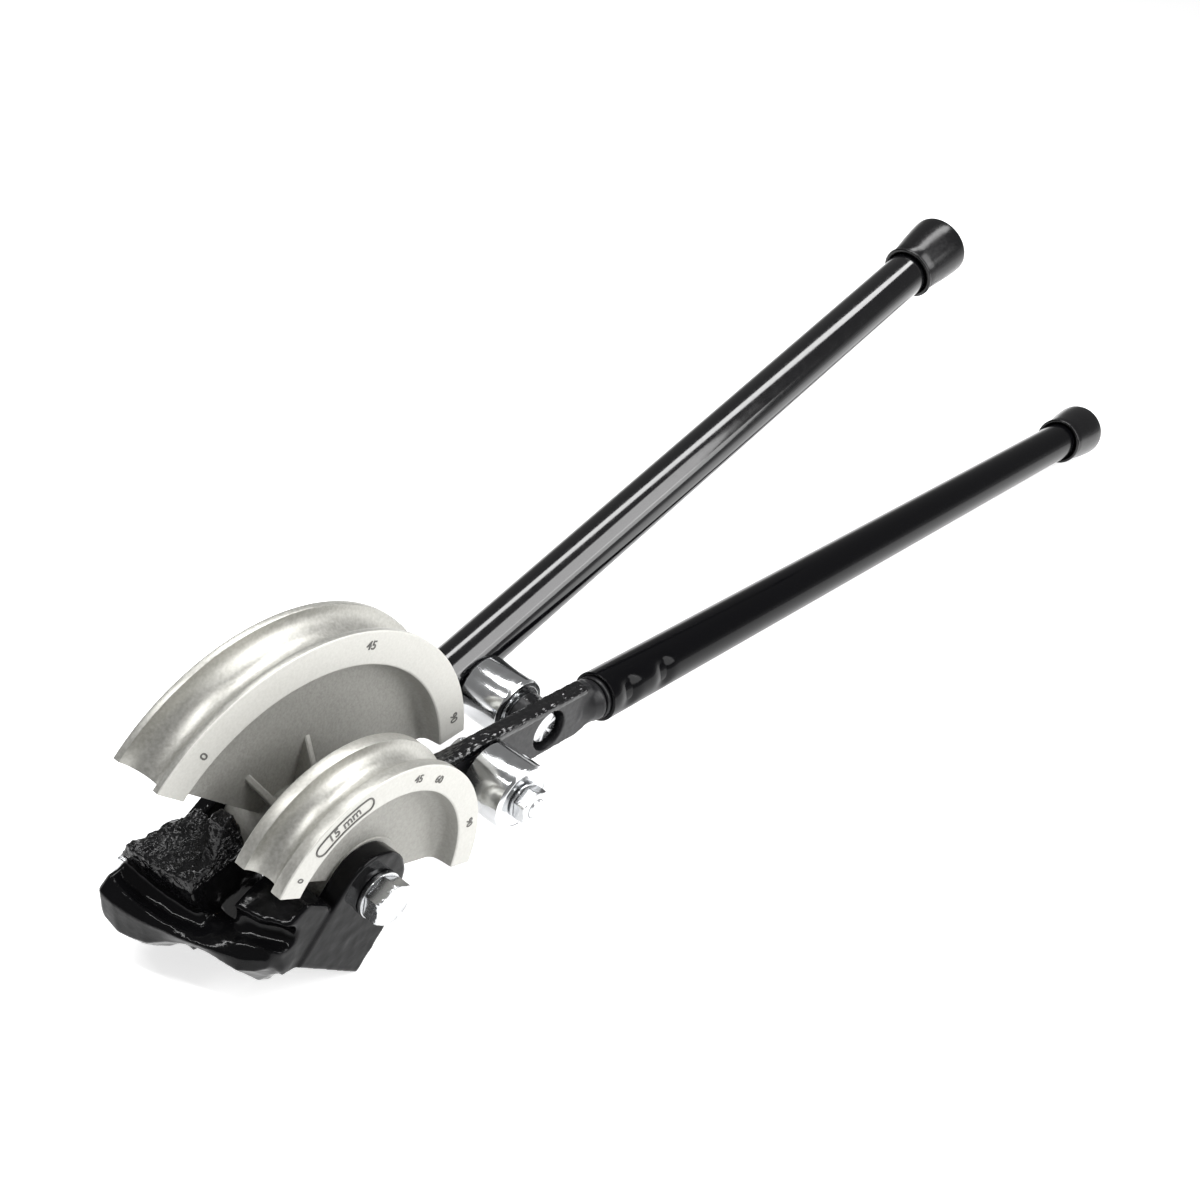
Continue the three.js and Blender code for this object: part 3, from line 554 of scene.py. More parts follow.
def make_stock_arm_bolts():
    """Two bolts through the far cheek into the hook casting, each with its washer."""
    across, head_height, washer_radius, washer_height, tip_y = 16, 6.4, 9.2, 2, 26
    face = FAR_CHEEK[1] + GAP
    head_y = face + washer_height + GAP
    for number, centre in enumerate(STOCK_BOLTS, 1):
        ring = washer(BOLT_BORE, washer_radius, face, face + washer_height, centre)
        head = hexagon_head(across, head_y, head_y + head_height, centre, 0.2 * number, 0, 1)
        shank = rod(BOLT_RADIUS, tip_y, head_y + 1, centre)
        dress(f"stock_arm_washer_{number}", [ring], BOLT_ZINC)
        dress(f"stock_arm_bolt_{number}", [head, shank], BOLT_ZINC)


# Rollers

def roller_shell(radius, y0, y1, centre, recess=0.0):
    """A roller: a turned ring with chamfered rims, a fine relief line near its front edge and, where one is
    given, a recess in its far face."""
    bore, relief, rim, chamfer, recess_radius = 7.6, 0.5, 3.4, 1.4, 10
    profile = [[bore, y0], [bore + 1, y0], [bore + 1, y0 + relief], [radius - rim, y0 + relief],
               [radius - rim, y0], [radius - chamfer, y0], [radius, y0 + chamfer], [radius, y1 - chamfer],
               [radius - chamfer, y1]]
    if recess:
        profile += [[recess_radius, y1], [recess_radius, y1 - recess]]
    profile += [[bore, y1 - recess]]
    return turned_shell(rounded(profile, 0.3, 2), centre, steps=128)


def make_rollers():
    """The near roller, and the far one with its recess."""
    near = roller_shell(18.2, -33, -7, NEAR_ROLLER_AT)
    far = roller_shell(17.8, 16, 44, FAR_ROLLER_AT, 3.5)
    dress("near_roller", [near], ROLLER_ZINC, LEVER_TURN)
    dress("far_roller", [far], ROLLER_ZINC, LEVER_TURN)


def make_near_roller_fastening():
    """The near roller's two washers, and its bolt with the nut that shows."""
    at = NEAR_ROLLER_AT
    across = 17
    nut = hexagon_head(across, -41.2, -34.6, at, math.radians(8), BOLT_BORE)
    thread = threaded(BOLT_RADIUS, -42, -38, at)
    shank = rod(BOLT_RADIUS, -38.4, 7.2, at)
    head = hexagon_head(across, 6.6, 13, at, 0.1, 0, 1)
    dress("near_roller_nut_washer", [washer(BOLT_BORE, 10, -34.3, -33.3, at)], BOLT_ZINC, LEVER_TURN)
    dress("near_roller_head_washer", [washer(BOLT_BORE, 10, 5.3, 6.3, at)], BOLT_ZINC, LEVER_TURN)
    dress("near_roller_nut", [nut], BOLT_ZINC, LEVER_TURN)
    dress("near_roller_bolt", [thread, shank, head], BOLT_ZINC, LEVER_TURN)


def make_far_roller_fastening():
    """The far roller's bolt, whose head sits in the arm's counterbore, its round nut and its washer."""
    at = FAR_ROLLER_AT
    head = hexagon_head(17, -1.8, 4.2, at, math.radians(20))
    shank = rod(BOLT_RADIUS, 3.9, 43.4, at)
    dress("far_roller_bolt", [head, shank], BOLT_ZINC, LEVER_TURN)
    dress("far_roller_nut", [washer(BOLT_BORE, 9, 40.8, 43.4, at)], BOLT_ZINC, LEVER_TURN)
    dress("far_roller_washer", [washer(BOLT_BORE, 10, 14.7, 15.7, at)], BOLT_ZINC, LEVER_TURN)


# Tubes and caps

LEVER_DENTS = (205, 235)
LEVER_CAP_START = 760.6
STOCK_CAP_START = 557.3


def tube_shell(span, y, z, dents=()):
    """A tube along X: outer and inner skin as one closed grid. Each dent lowers the outer skin by its depth
    times a bell in place and a flatter bell in angle."""
    dent_angle, dent_depth, dent_length, dent_width, end_ease = math.radians(158), 2.0, 6, 0.6, 0.4
    start, end = span
    fine = np.linspace(start, start + 60, 90)
    eased = [start + end_ease, end - end_ease]
    places = np.unique(np.concatenate([np.linspace(start, end, 60), fine, eased]))
    angles = np.linspace(0, 2 * math.pi, 96, endpoint=False)
    s, a = np.meshgrid(places, angles, indexing="ij")
    turn = (a - dent_angle + math.pi) % (2 * math.pi) - math.pi
    radius = np.full_like(s, TUBE_RADIUS)
    for place in dents:
        radius -= dent_depth * np.exp(-((s - place) / dent_length) ** 2) * np.exp(-(turn / dent_width) ** 4)
    radius[[0, -1]] -= end_ease
    bore = TUBE_RADIUS - TUBE_WALL
    outer = np.stack([s, y + radius * np.cos(a), z + radius * np.sin(a)], -1)
    inner = np.stack([s, y + bore * np.cos(a), z + bore * np.sin(a)], -1)[::-1]
    grid = np.concatenate([outer, inner])
    return grid.reshape(-1, 3), [grid_faces(len(grid), len(angles), True, True)]


def cap_shell(start, y, z):
    """A flared cap along X: a closed profile turned round the tube's axis, with a rolled bead at its mouth, a
    flare through a few stations and a soft edge at its closed end."""
    length, mouth, big, end_round, bead, end_wall = 39.0, 16.6, 20.0, 3.0, 1.5, 5
    bore = TUBE_RADIUS + GAP
    end = start + length
    bead_place = start + 1.6
    t = np.linspace(-0.75, 0.5, 9) * math.pi
    roll = np.stack([mouth - 0.5 + bead * np.cos(t), bead_place + bead * np.sin(t)], 1)
    flare = np.array([[mouth - 0.1, 3.8], [mouth + 0.5, 9], [mouth + 1.8, 18], [big - 0.5, 28], [big, 34]])
    flare[:, 1] += start
    soft_end = rounded([[big, start + 34], [big, end], [0, end]], [0, end_round, 0], 6)[1:-1]
    inside = [[0, end], [0, end - end_wall], [bore, end - end_wall]]
    profile = np.concatenate([[[bore, bead_place]], roll, flare, soft_end, inside])
    return turned_shell(profile, (y, z), "x", 112)


def make_handles():
    """The lever's dented tube and the stock's plain one, each with its cap."""
    lever_tube = tube_shell(LEVER_TUBE, 0, LEVER_TUBE_Z, LEVER_DENTS)
    stock_tube = tube_shell(STOCK_TUBE, STOCK_TUBE_Y, STOCK_TUBE_Z)
    lever_cap = cap_shell(LEVER_CAP_START, 0, LEVER_TUBE_Z)
    stock_cap = cap_shell(STOCK_CAP_START, STOCK_TUBE_Y, STOCK_TUBE_Z)
    dress("lever_tube", [lever_tube], LEVER_PAINT, LEVER_TURN, 50)
    dress("lever_tube_cap", [lever_cap], RUBBER, LEVER_TURN, 40)
    dress("stock_tube", [stock_tube], STOCK_PAINT, STOCK_TURN, 50)
    dress("stock_tube_cap", [stock_cap], RUBBER, STOCK_TURN, 40)


# Castings. Each is a field of distances on a grid, below zero inside, whose zero surface becomes the mesh.

def polygon_distance(px, pz, corners):
    """Signed distance in the plane to a closed polygon: least distance to any edge, below zero inside, where
    inside is found by counting the edges that cross a level line."""
    corners = np.asarray(corners, float)
    tiny = 1e-12
    best = np.full(px.shape, 1e9)
    inside = np.zeros(px.shape, bool)
    for (ax, az), (bx, bz) in zip(corners, np.roll(corners, -1, 0)):
        ex, ez = bx - ax, bz - az
        wx, wz = px - ax, pz - az
        t = np.clip((wx * ex + wz * ez) / (ex * ex + ez * ez + tiny), 0, 1)
        best = np.minimum(best, (wx - ex * t) ** 2 + (wz - ez * t) ** 2)
        crosses = (az > pz) != (bz > pz)
        inside ^= crosses & (px < ex * (pz - az) / (ez if abs(ez) > tiny else tiny) + ax)
    return np.where(inside, -1, 1) * np.sqrt(best)


def slab(plane, y, y0, y1, radius):
    """Distance to a flat shape carried along Y, with its rims rounded by radius."""
    across = np.abs(y - (y0 + y1) / 2) - (y1 - y0) / 2 + radius
    plane = plane + radius
    outside = np.hypot(np.maximum(plane, 0), np.maximum(across, 0))
    return outside + np.minimum(np.maximum(plane, across), 0) - radius


def plate(x, y, z, outline, span, radius):
    """Distance to an outline in X and Z carried between two places along Y."""
    return slab(polygon_distance(x[:, 0], z[:, 0], outline)[:, None, :], y, *span, radius)


def blend(a, b, k):
    """The nearer of two distances, with a fillet of about k where they meet."""
    h = np.maximum(k - np.abs(a - b), 0) / k
    return np.minimum(a, b) - h * h * k / 4


def carve(a, b, k):
    """Solid a without solid b, with edges eased by about k."""
    return -blend(-a, b, k)


def along_line(x, y, z, stations):
    """Distance to a round rod through stations of (x, y, z, radius), its radius running evenly between
    them."""
    stations = np.array(stations, float)
    best = np.full(x.shape, 1e9)
    for start, end in zip(stations[:-1], stations[1:]):
        dx, dy, dz, widening = end - start
        wx, wy, wz = x - start[0], y - start[1], z - start[2]
        t = np.clip((wx * dx + wy * dy + wz * dz) / (dx * dx + dy * dy + dz * dz), 0, 1)
        away = np.sqrt((wx - dx * t) ** 2 + (wy - dy * t) ** 2 + (wz - dz * t) ** 2)
        best = np.minimum(best, away - (start[3] + widening * t))
    return best


def soft_noise(shape, step, wave, seed):
    """Seeded random values on a grid of the given step, kept only at wavelengths near wave, from -1 to 1."""
    field = np.random.default_rng(seed).standard_normal(shape).astype(np.float32)
    spectrum = np.fft.rfftn(field)
    squares = np.meshgrid(np.fft.fftfreq(shape[0]) ** 2, np.fft.fftfreq(shape[1]) ** 2,
                          np.fft.rfftfreq(shape[2]) ** 2, indexing="ij")
    band = np.exp(-((np.sqrt(sum(squares)) * wave / step - 1) / 0.5) ** 2)
    field = np.fft.irfftn(spectrum * band, s=shape)
    return field / (3 * field.std())


def crossing_points(values, inside, cells):
    """For each grid cell that the surface crosses, the mean of its crossings on the cell's edges, in cells.
    Each of the twelve edges runs from a corner along one axis."""
    corners = [(i, j, k) for i in (0, 1) for j in (0, 1) for k in (0, 1)]
    total = np.zeros((*cells, 3))
    count = np.zeros(cells)
    for corner in corners:
        for axis in (axis for axis in range(3) if corner[axis] == 0):
            other = tuple(1 if k == axis else corner[k] for k in range(3))
            here = tuple(slice(o, o + m) for o, m in zip(corner, cells))
            there = tuple(slice(o, o + m) for o, m in zip(other, cells))
            hit = inside[here] != inside[there]
            t = np.where(hit, values[here] / np.where(hit, values[here] - values[there], 1), 0)
            for k in range(3):
                total[..., k] += hit * (corner[k] + (t if k == axis else 0))
            count += hit
    used = count > 0
    return used, np.argwhere(used) + total[used] / count[used][:, None]


def crossing_quads(inside, index, axis):
    """One quad for each grid edge along the axis that the surface crosses, through the four cells round that
    edge."""
    lower = [slice(1, -1)] * 3
    lower[axis] = slice(0, -1)
    upper = list(lower)
    upper[axis] = slice(1, None)
    offset = np.array([1, 1, 1])
    offset[axis] = 0
    at = np.argwhere(inside[tuple(lower)] != inside[tuple(upper)]) + offset
    du = np.eye(3, dtype=int)[(axis + 1) % 3]
    dv = np.eye(3, dtype=int)[(axis + 2) % 3]
    quads = np.stack([index[tuple(cell.T)] for cell in (at - du - dv, at - dv, at, at - du)], 1)
    return np.where(inside[tuple(at.T)][:, None], quads, quads[:, ::-1])


def skin(field, ranges, step):
    """The mesh where a field of distances changes sign, on a grid over the ranges with the given step."""
    axes = [np.arange(low, high, step) for low, high in ranges]
    values = field(*axes)
    inside = values < 0
    used, points = crossing_points(values, inside, np.array(values.shape) - 1)
    index = np.full(used.shape, -1)
    index[used] = np.arange(used.sum())
    quads = np.concatenate([crossing_quads(inside, index, axis) for axis in range(3)])
    return points * step + np.array([axis[0] for axis in axes]), quads


# Hook casting

BLOCK_OUTLINE = [(-36, 35.4), (-71.5, 35.4), (-73.6, 28.3), (-70, -6.3), (-60.4, -9), (-29, -8.1), (-29, 8.9),
                 (-36, 21.2)]
BLOCK_Y = (5.6, 44.4)
FIN_OUTLINE = [(-34.5, 30), (-33.8, 45.4), (-36.7, 55.4), (-43.0, 52.9), (-47, 43), (-52.5, 34)]
FIN_Y = (5.6, 13.6)
NECK_OUTLINE = [(-34, 25), (-52.8, 20.3), (-54, -5), (-35.2, -9.5), (-24, -7.9), (-24, 14)]
NECK_Y = (-33.5, -5.7)
# Stations along each trough: x, y, z and radius
FAR_TROUGH = [(-74.9, 36.6, 25.6, 5.0), (-73.4, 26, 20.5, 5.4), (-70.4, 14, 16.8, 5.2), (-66.5, 3, 14.5, 4.8),
              (-64, -6, 15.5, 4.4)]
NEAR_TROUGH = [(-57.0, -10, 16.5, 5.4), (-53.6, -20, 15.0, 5.6), (-49.2, -29, 15.5, 5.8),
               (-47, -38, 16.5, 6.0)]
ARM_SLOT_HALF = 5.6
ARM_SLOT_END = -52.0
# Cross head: each section's y, and its x and z at ridge, crease, front, low front, low, low back, back, top
HEAD_PLACES = (45.0, 42.0, 34.7, 28.7, 21.7, 13.7, 3.7, -4.3, -12.3, -20.3, -26.3, -31.5)
HEAD_OUTLINES = [
    [(-79.0, 23.0), (-84.5, 19.5), (-86.5, 8), (-80, -13), (-71, -19), (-58, -17), (-54, 0), (-62, 22)],
    [(-79.7, 24.5), (-86.1, 20.3), (-88, 5), (-80.5, -18), (-68, -24), (-50, -20), (-50, 0), (-62, 22)],
    [(-79.6, 20.8), (-85.4, 17.9), (-87.5, 0), (-79, -18.5), (-64, -27.5), (-50, -22), (-50, 0), (-62, 19)],
    [(-78.3, 18.7), (-83.8, 15.5), (-85.5, -1.5), (-76, -18), (-62.7, -28), (-50, -22), (-50, 0), (-62, 16)],
    [(-75.6, 15.9), (-81.7, 13.6), (-82.5, -2), (-73, -15), (-60, -20), (-50, -15), (-50, 0), (-62, 14)],
    [(-73.2, 14.5), (-78.8, 12.2), (-77.5, 1), (-69.5, -8), (-59, -11), (-50, -9), (-50, 0), (-60, 12)],
    [(-68.3, 10.6), (-75.2, 10.4), (-73, 4), (-65.5, -2.5), (-57, -5), (-50, -3), (-49, 2), (-58, 9.5)],
    [(-64.2, 9.2), (-71.3, 8.6), (-70, 3), (-62.5, -4), (-55, -7), (-47, -5), (-46, 2), (-55, 9)],
    [(-61, 8.9), (-67.4, 6.8), (-68, 1), (-60.5, -10), (-53, -15), (-44, -12), (-42, 1), (-52, 9.5)],
    [(-58, 9.5), (-64, 7), (-67, 2), (-58.4, -16.2), (-52.8, -21.5), (-44, -17), (-40, 0), (-49, 11)],
    [(-55.2, 10), (-60.5, 7.8), (-62.8, 2), (-56, -9.5), (-51.5, -11.5), (-46, -8), (-42, 2), (-47.5, 12.5)],
    [(-53.5, 11.5), (-57.5, 9), (-58.8, 5), (-54.5, -1), (-50.5, -2), (-46.5, 1), (-44, 6), (-46.5, 13)],
]


def cheek_outline():
    """Corners of a cheek: straight sides and a square lower end, and a round end whose centre lies off its
    middle line."""
    end_radius, off_middle, side_start, half_width, reach = 20, 3.5, 16, 23, 40.4
    along = np.array([math.cos(CHEEK_TURN), math.sin(CHEEK_TURN)])
    side = np.array([-math.sin(CHEEK_TURN), math.cos(CHEEK_TURN)])
    start = CHEEK_TURN + math.pi / 2 + math.atan2(6.5, side_start)
    t = np.linspace(start, CHEEK_TURN + math.pi * 1.5, 28)
    arc = -off_middle * side + end_radius * np.stack([np.cos(t), np.sin(t)], 1)
    corners = np.array([[reach, -half_width], [reach, half_width], [side_start, half_width]])
    return np.concatenate([arc, corners @ np.stack([along, side])])


def cross_head(x, z, levels):
    """Distance to the cross head: at each level along Y the distance in the plane to the polygon between the
    two nearest sections, closed at both ends by the levels' own distance, with edges rounded by the
    radius."""
    radius = 1.2
    places = np.array(HEAD_PLACES)[::-1]
    outlines = np.array(HEAD_OUTLINES, float)[::-1]
    out = np.empty(x.shape)
    for j, level in enumerate(levels):
        at = np.clip(level, places[0], places[-1])
        after = np.clip(np.searchsorted(places, at), 1, len(places) - 1)
        share = (at - places[after - 1]) / (places[after] - places[after - 1])
        corners = outlines[after - 1] + (outlines[after] - outlines[after - 1]) * share
        plane = polygon_distance(x[:, 0, :], z[:, 0, :], corners) + radius
        beyond = max(places[0] - level, level - places[-1]) + radius
        outside = np.hypot(np.maximum(plane, 0), max(beyond, 0))
        out[:, j, :] = outside + np.minimum(np.maximum(plane, beyond), 0) - radius
    return out


def hook_block(x, y, z):
    """The block on the cross head: a plate that, above the head, is cut by two planes: its far face comes
    nearer with X, and its front goes back where Y is less."""
    lean_z, lean_x, lean_slope, lean_length = 10, -71, 0.29, 1.04
    front_z, front_x, front_y, front_slope, front_length = 8, -70.3, 43, 0.17, 1.02
    front_rise, ease = 0.6, 2.0
    block = plate(x, y, z, BLOCK_OUTLINE, BLOCK_Y, 1.5)
    lean = ((y - BLOCK_Y[1]) + (x - lean_x) * lean_slope) / lean_length
    front = (front_x - x + (front_y - y) * front_slope) / front_length
    block = np.where(z > lean_z, carve(block, -lean, ease), block)
    return carve(block, -np.minimum(front, front_rise * (z - front_z)), ease)


def hook_field(axis_x, axis_y, axis_z):
    """The casting: cross head, block, fin, neck and near cheek joined with fillets, without the two troughs,
    the arm's slot and the room round the formers' hubs. Random ripples roughen the block's top."""
    x, y, z = np.meshgrid(axis_x, axis_y, axis_z, indexing="ij")
    body = blend(cross_head(x, z, axis_y), hook_block(x, y, z), 4.0)
    body = blend(body, plate(x, y, z, NECK_OUTLINE, NECK_Y, 1.5), 5.0)
    body = blend(body, plate(x, y, z, FIN_OUTLINE, FIN_Y, 1.0), 3.0)
    body = blend(body, plate(x, y, z, cheek_outline(), NEAR_CHEEK, 0.6), 1.5)
    body = carve(body, along_line(x, y, z, FAR_TROUGH), 1.6)
    body = carve(body, along_line(x, y, z, NEAR_TROUGH), 1.4)
    body = carve(body, np.maximum(np.abs(y) - ARM_SLOT_HALF, ARM_SLOT_END - x), 0.8)
    from_pivot = np.hypot(x, z)
    room_radius, room_end = 22.7, 50
    hub_room = np.maximum(from_pivot - room_radius, np.maximum(NEAR_CHEEK[1] - y, y - room_end))
    body = carve(body, hub_room, 0.5)
    body = carve(body, from_pivot - PIVOT_BORE, 0.4)
    step = axis_x[1] - axis_x[0]
    rough_z, rough_y = 26, 5
    top = np.clip((z - rough_z) / 6, 0, 1) * np.clip((y - rough_y) / 2, 0, 1)
    wide = soft_noise(x.shape, step, 9, 7)
    fine = soft_noise(x.shape, step, 3.2, 8)
    return body + wide * (0.15 + 0.9 * top) + fine * (0.04 + 0.75 * top)


def make_hook_casting():
    """The hook casting, with the block's top in its rough finish."""
    top_z, top_y = 29.5, 4.8
    ranges = ((-92, 25), (-38, 49), (-48, 60))
    points, quads = skin(hook_field, ranges, 0.82)
    middle = points[quads].mean(1)
    is_top = (middle[:, 2] > top_z) & (middle[:, 1] > top_y)
    stand_for("hook_casting", placed(points), [quads], [CASTING, ROUGH_TOP], is_top, 70)


# Stock arm

BOLT_PAD = 12
PIVOT_PAD = 23
PIVOT_WEB = 26
SOCKET_START = 38
SPIGOT = (50, 110)


def hull(circles):
    """Corners of the tight outline round several circles of (x, z, radius): of all points on the circles,
    those that reach furthest in one of many directions, in the order of the directions."""
    circles = np.array(circles, float)
    t = np.linspace(0, 2 * math.pi, 73)[:-1]
    rim = np.stack([np.cos(t), np.sin(t)], 1)
    points = (circles[:, None, :2] + circles[:, None, 2:] * rim).reshape(-1, 2)
    ways = np.linspace(0, 2 * math.pi, 7200, endpoint=False)
    furthest = np.argmax(points @ np.stack([np.cos(ways), np.sin(ways)]), axis=0)
    return points[furthest[furthest != np.roll(furthest, 1)]]


def far_cheek_plane(x, z):
    """Distance in the plane to the far cheek: a cheek's outline, the arm down to the tube, the bolts' pads
    and the web between them, joined with fillets."""
    s = STOCK_TUBE[0] - GAP - TUBE_RADIUS
    c, n = math.cos(STOCK_TURN), math.sin(STOCK_TURN)
    foot = (s * c - STOCK_TUBE_Z * n, s * n + STOCK_TUBE_Z * c, TUBE_RADIUS)
    pads = [(*centre, BOLT_PAD) for centre in STOCK_BOLTS]
    plane = polygon_distance(x, z, cheek_outline())
    for circles in ([(0, 0, PIVOT_PAD), foot], pads, [(0, 0, PIVOT_WEB), pads[0]]):
        plane = blend(plane, polygon_distance(x, z, hull(circles)), 3.0)
    return plane


def stock_arm_field(axis_x, axis_y, axis_z):
    """The far cheek's plate with the round socket and spigot of the tube, and the pivot's and the bolts'
    holes."""
    x, y, z = np.meshgrid(axis_x, axis_y, axis_z, indexing="ij")
    body = slab(far_cheek_plane(x[:, 0], z[:, 0])[:, None, :], y, *FAR_CHEEK, 0.8)
    along = x * math.cos(STOCK_TURN) + z * math.sin(STOCK_TURN)
    up = -x * math.sin(STOCK_TURN) + z * math.cos(STOCK_TURN)
    from_axis = np.hypot(y - STOCK_TUBE_Y, up - STOCK_TUBE_Z)
    socket_end = STOCK_TUBE[0] - GAP
    socket = np.maximum(from_axis - TUBE_RADIUS, np.maximum(SOCKET_START - along, along - socket_end))
    spigot = np.maximum(from_axis - SPIGOT_RADIUS, np.maximum(SPIGOT[0] - along, along - SPIGOT[1]))
    body = np.minimum(blend(body, socket, 2.5), spigot)
    holes = [(0, 0, PIVOT_BORE)] + [(*centre, BOLT_BORE) for centre in STOCK_BOLTS]
    for hole_x, hole_z, radius in holes:
        body = carve(body, np.hypot(x - hole_x, z - hole_z) - radius, 0.3)
    return body + soft_noise(x.shape, axis_x[1] - axis_x[0], 6, 9) * 0.12


def make_stock_arm():
    """The far cheek with the arm that carries the stock tube."""
    ranges = ((-78, 118), (42, 76), (-64, 30))
    points, quads = skin(stock_arm_field, ranges, 0.9)
    stand_for("stock_arm", placed(points), [quads], [CASTING], None, 70)


# Lever arm, in the lever's own frame

ARM_OUTLINE = [(0, -12.4), (172, -12.4), (179, -10.6), (186, -5), (186, 10.5), (180, 17), (174, 18), (0, 20)]
ARM_HALF = 5
EYE_RADIUS = 20
ARM_NECK = (174, 187)
ARM_COLLAR = (185, 190)
ARM_SPIGOT = (188, 247)
BOSS_RADIUS = 12.5
BOSS_Y = (0, 14.4)
# Each hole's x, z, radius and span along Y: the eye, both rollers' bolts and the counterbore
ARM_HOLES = [(0, 0, 9.6, -9, 9), (*NEAR_ROLLER_AT, BOLT_BORE, -9, 9), (*FAR_ROLLER_AT, BOLT_BORE, -9, 19),
             (*FAR_ROLLER_AT, 11.6, -9, 4.5)]


def arm_field(axis_x, axis_y, axis_z):
    """A flat bar that narrows to a round collar, an eye at the pivot and a boss for the far roller, with its
    holes. Ripples roughen the bar's upper and lower edge."""
    x, y, z = np.meshgrid(axis_x, axis_y, axis_z, indexing="ij")
    plane = polygon_distance(x[:, 0], z[:, 0], ARM_OUTLINE)
    plane = np.minimum(plane, np.hypot(x[:, 0], z[:, 0]) - EYE_RADIUS)
    edge = np.clip((np.abs(z - 3) - 11) / 3, 0, 1) * np.clip((x - 60) / 10, 0, 1)
    ripple = soft_noise(x.shape, axis_x[1] - axis_x[0], 4, 11) * 0.3
    bar = slab(plane[:, None, :], y, -ARM_HALF, ARM_HALF, 2.4) + ripple * edge
    ring = np.hypot(y, z - LEVER_TUBE_Z)
    cone = np.interp(x, [174, 180, 185], [4.0, 9.5, 11.5])
    neck = np.maximum(ring - cone, np.maximum(ARM_NECK[0] - x, x - ARM_NECK[1]))
    spigot = np.maximum(ring - SPIGOT_RADIUS, np.maximum(ARM_SPIGOT[0] - x, x - ARM_SPIGOT[1]))
    from_boss = np.hypot(x - FAR_ROLLER_AT[0], z - FAR_ROLLER_AT[1]) - BOSS_RADIUS
    boss = np.maximum(from_boss, np.maximum(BOSS_Y[0] - y, y - BOSS_Y[1]))
    body = blend(bar, neck, 4.0)
    body = blend(body, slab(ring, x, *ARM_COLLAR, 1.2), 1.5)
    body = np.minimum(body, spigot)
    body = blend(body, boss, 1.5)
    for hole_x, hole_z, radius, y0, y1 in ARM_HOLES:
        hole = np.maximum(np.hypot(x - hole_x, z - hole_z) - radius, np.maximum(y0 - y, y - y1))
        body = carve(body, hole, 0.5)
    return body


def make_lever_arm():
    """The lever arm, with its upper edge in its streaked finish."""
    edge_z, edge_start, edge_end = 14.5, 40, 176
    ranges = ((-23, 251), (-16, 18), (-18, 24))
    points, quads = skin(arm_field, ranges, 0.8)
    middle = points[quads].mean(1)
    is_edge = (middle[:, 2] > edge_z) & (middle[:, 0] > edge_start) & (middle[:, 0] < edge_end)
    stand_for("lever_arm", placed(points, LEVER_TURN), [quads], [ARM_PAINT, STREAKED], is_edge, 70)


# Marks

PROUD = 0.02
# Each mark's text, angle in degrees, radius and letter size
SMALL_MARKS = (("0", 128.5, 57.6, 4.6), ("45", 57, 58, 5.2), ("60", 42, 57.4, 5.2), ("90", -6, 58, 5.2))
LARGE_MARKS = (("0", 113.4, 94.5, 6.2), ("45", 56.4, 97, 6.2), ("90", -1.5, 96.6, 6.2))
SIZE_MARK = ("15 mm", 100, 57.6, 6.6)
OVAL_RADIUS = 57.6
OVAL_HALF_WIDTH = 3.4
OVAL_ANGLES = (math.radians(87), math.radians(113))


def letters(text, name, size):
    """A text as a solid mesh in millimetres: its points, and the mesh that holds them."""
    curve = bpy.data.curves.new(name, "FONT")
    curve.body = text
    curve.size = size * MM
    curve.align_x = "CENTER"
    curve.align_y = "CENTER"
    curve.extrude = 0.22 * MM
    curve.offset = 0.09 * MM
    holder = new_object(name, curve)
    bpy.context.view_layer.update()
    data = bpy.data.meshes.new_from_object(holder.evaluated_get(bpy.context.evaluated_depsgraph_get()))
    bpy.data.objects.remove(holder)
    points = np.zeros(len(data.vertices) * 3)
    data.vertices.foreach_get("co", points)
    return points.reshape(-1, 3) / MM, data


def mark(name, former_node, face_y, text, degrees, radius, size):
    """A generic number on a former's near face: letters laid in the X and Z plane with their feet towards the
    pivot, turned to the tangent at the angle, half of their thickness in the face."""
    points, data = letters(text, name, size)
    along, rise, out = points.T
    c, s = math.cos(math.radians(degrees)), math.sin(math.radians(degrees))
    x = radius * c + along * s + rise * c
    z = radius * s - along * c + rise * s
    made = placed(np.stack([x, face_y - out, z], -1))
    data.vertices.foreach_set("co", made.astype(np.float32).ravel())
    # The letters are raised; their dark grey finish is painted shade for that low relief.
    data.materials.clear()
    data.materials.append(MARK)
    data.update()
    belong(new_object(name, data), former_node)


def oval_line(radius, half_width, start, end):
    """The middle line of a stadium that follows the rim: two arcs about the pivot and a half circle at either
    end."""
    sweep = np.linspace(start, end, 40)
    cap = np.linspace(-math.pi / 2, math.pi / 2, 13)[1:-1]
    way = np.stack([np.cos(sweep), np.sin(sweep)], 1)
    across = np.stack([-way[:, 1], way[:, 0]], 1)
    outer = (radius + half_width) * way
    inner = (radius - half_width) * way[::-1]
    swing_out = np.outer(-np.sin(cap), way[-1]) + np.outer(np.cos(cap), across[-1])
    swing_back = np.outer(-np.sin(cap), way[0]) - np.outer(np.cos(cap), across[0])
    end_cap = radius * way[-1] + half_width * swing_out
    start_cap = (radius * way[0] + half_width * swing_back)[::-1]
    return np.concatenate([outer, end_cap, inner, start_cap])


def make_oval(face_y):
    """The low bead round the small former's size: a small circle carried along the closed middle line, square
    to it."""
    bead, proud = 0.45, 0.05
    line = oval_line(OVAL_RADIUS, OVAL_HALF_WIDTH, *OVAL_ANGLES)
    step = np.roll(line, -1, 0) - np.roll(line, 1, 0)
    step /= np.linalg.norm(step, axis=1, keepdims=True)
    a = np.linspace(0, 2 * math.pi, 12, endpoint=False)
    x = line[:, :1] + step[:, 1:] * bead * np.cos(a)
    z = line[:, 1:] - step[:, :1] * bead * np.cos(a)
    y = face_y - proud - bead * np.sin(a) + 0 * x
    points = np.stack([x, y, z], -1).reshape(-1, 3)
    groups = outward(points, [grid_faces(len(line), len(a), True, True)])
    # The bead is raised; its dark grey finish is painted shade for that low relief.
    make_piece("small_former_oval", placed(points), groups, [MARK], "small_former")


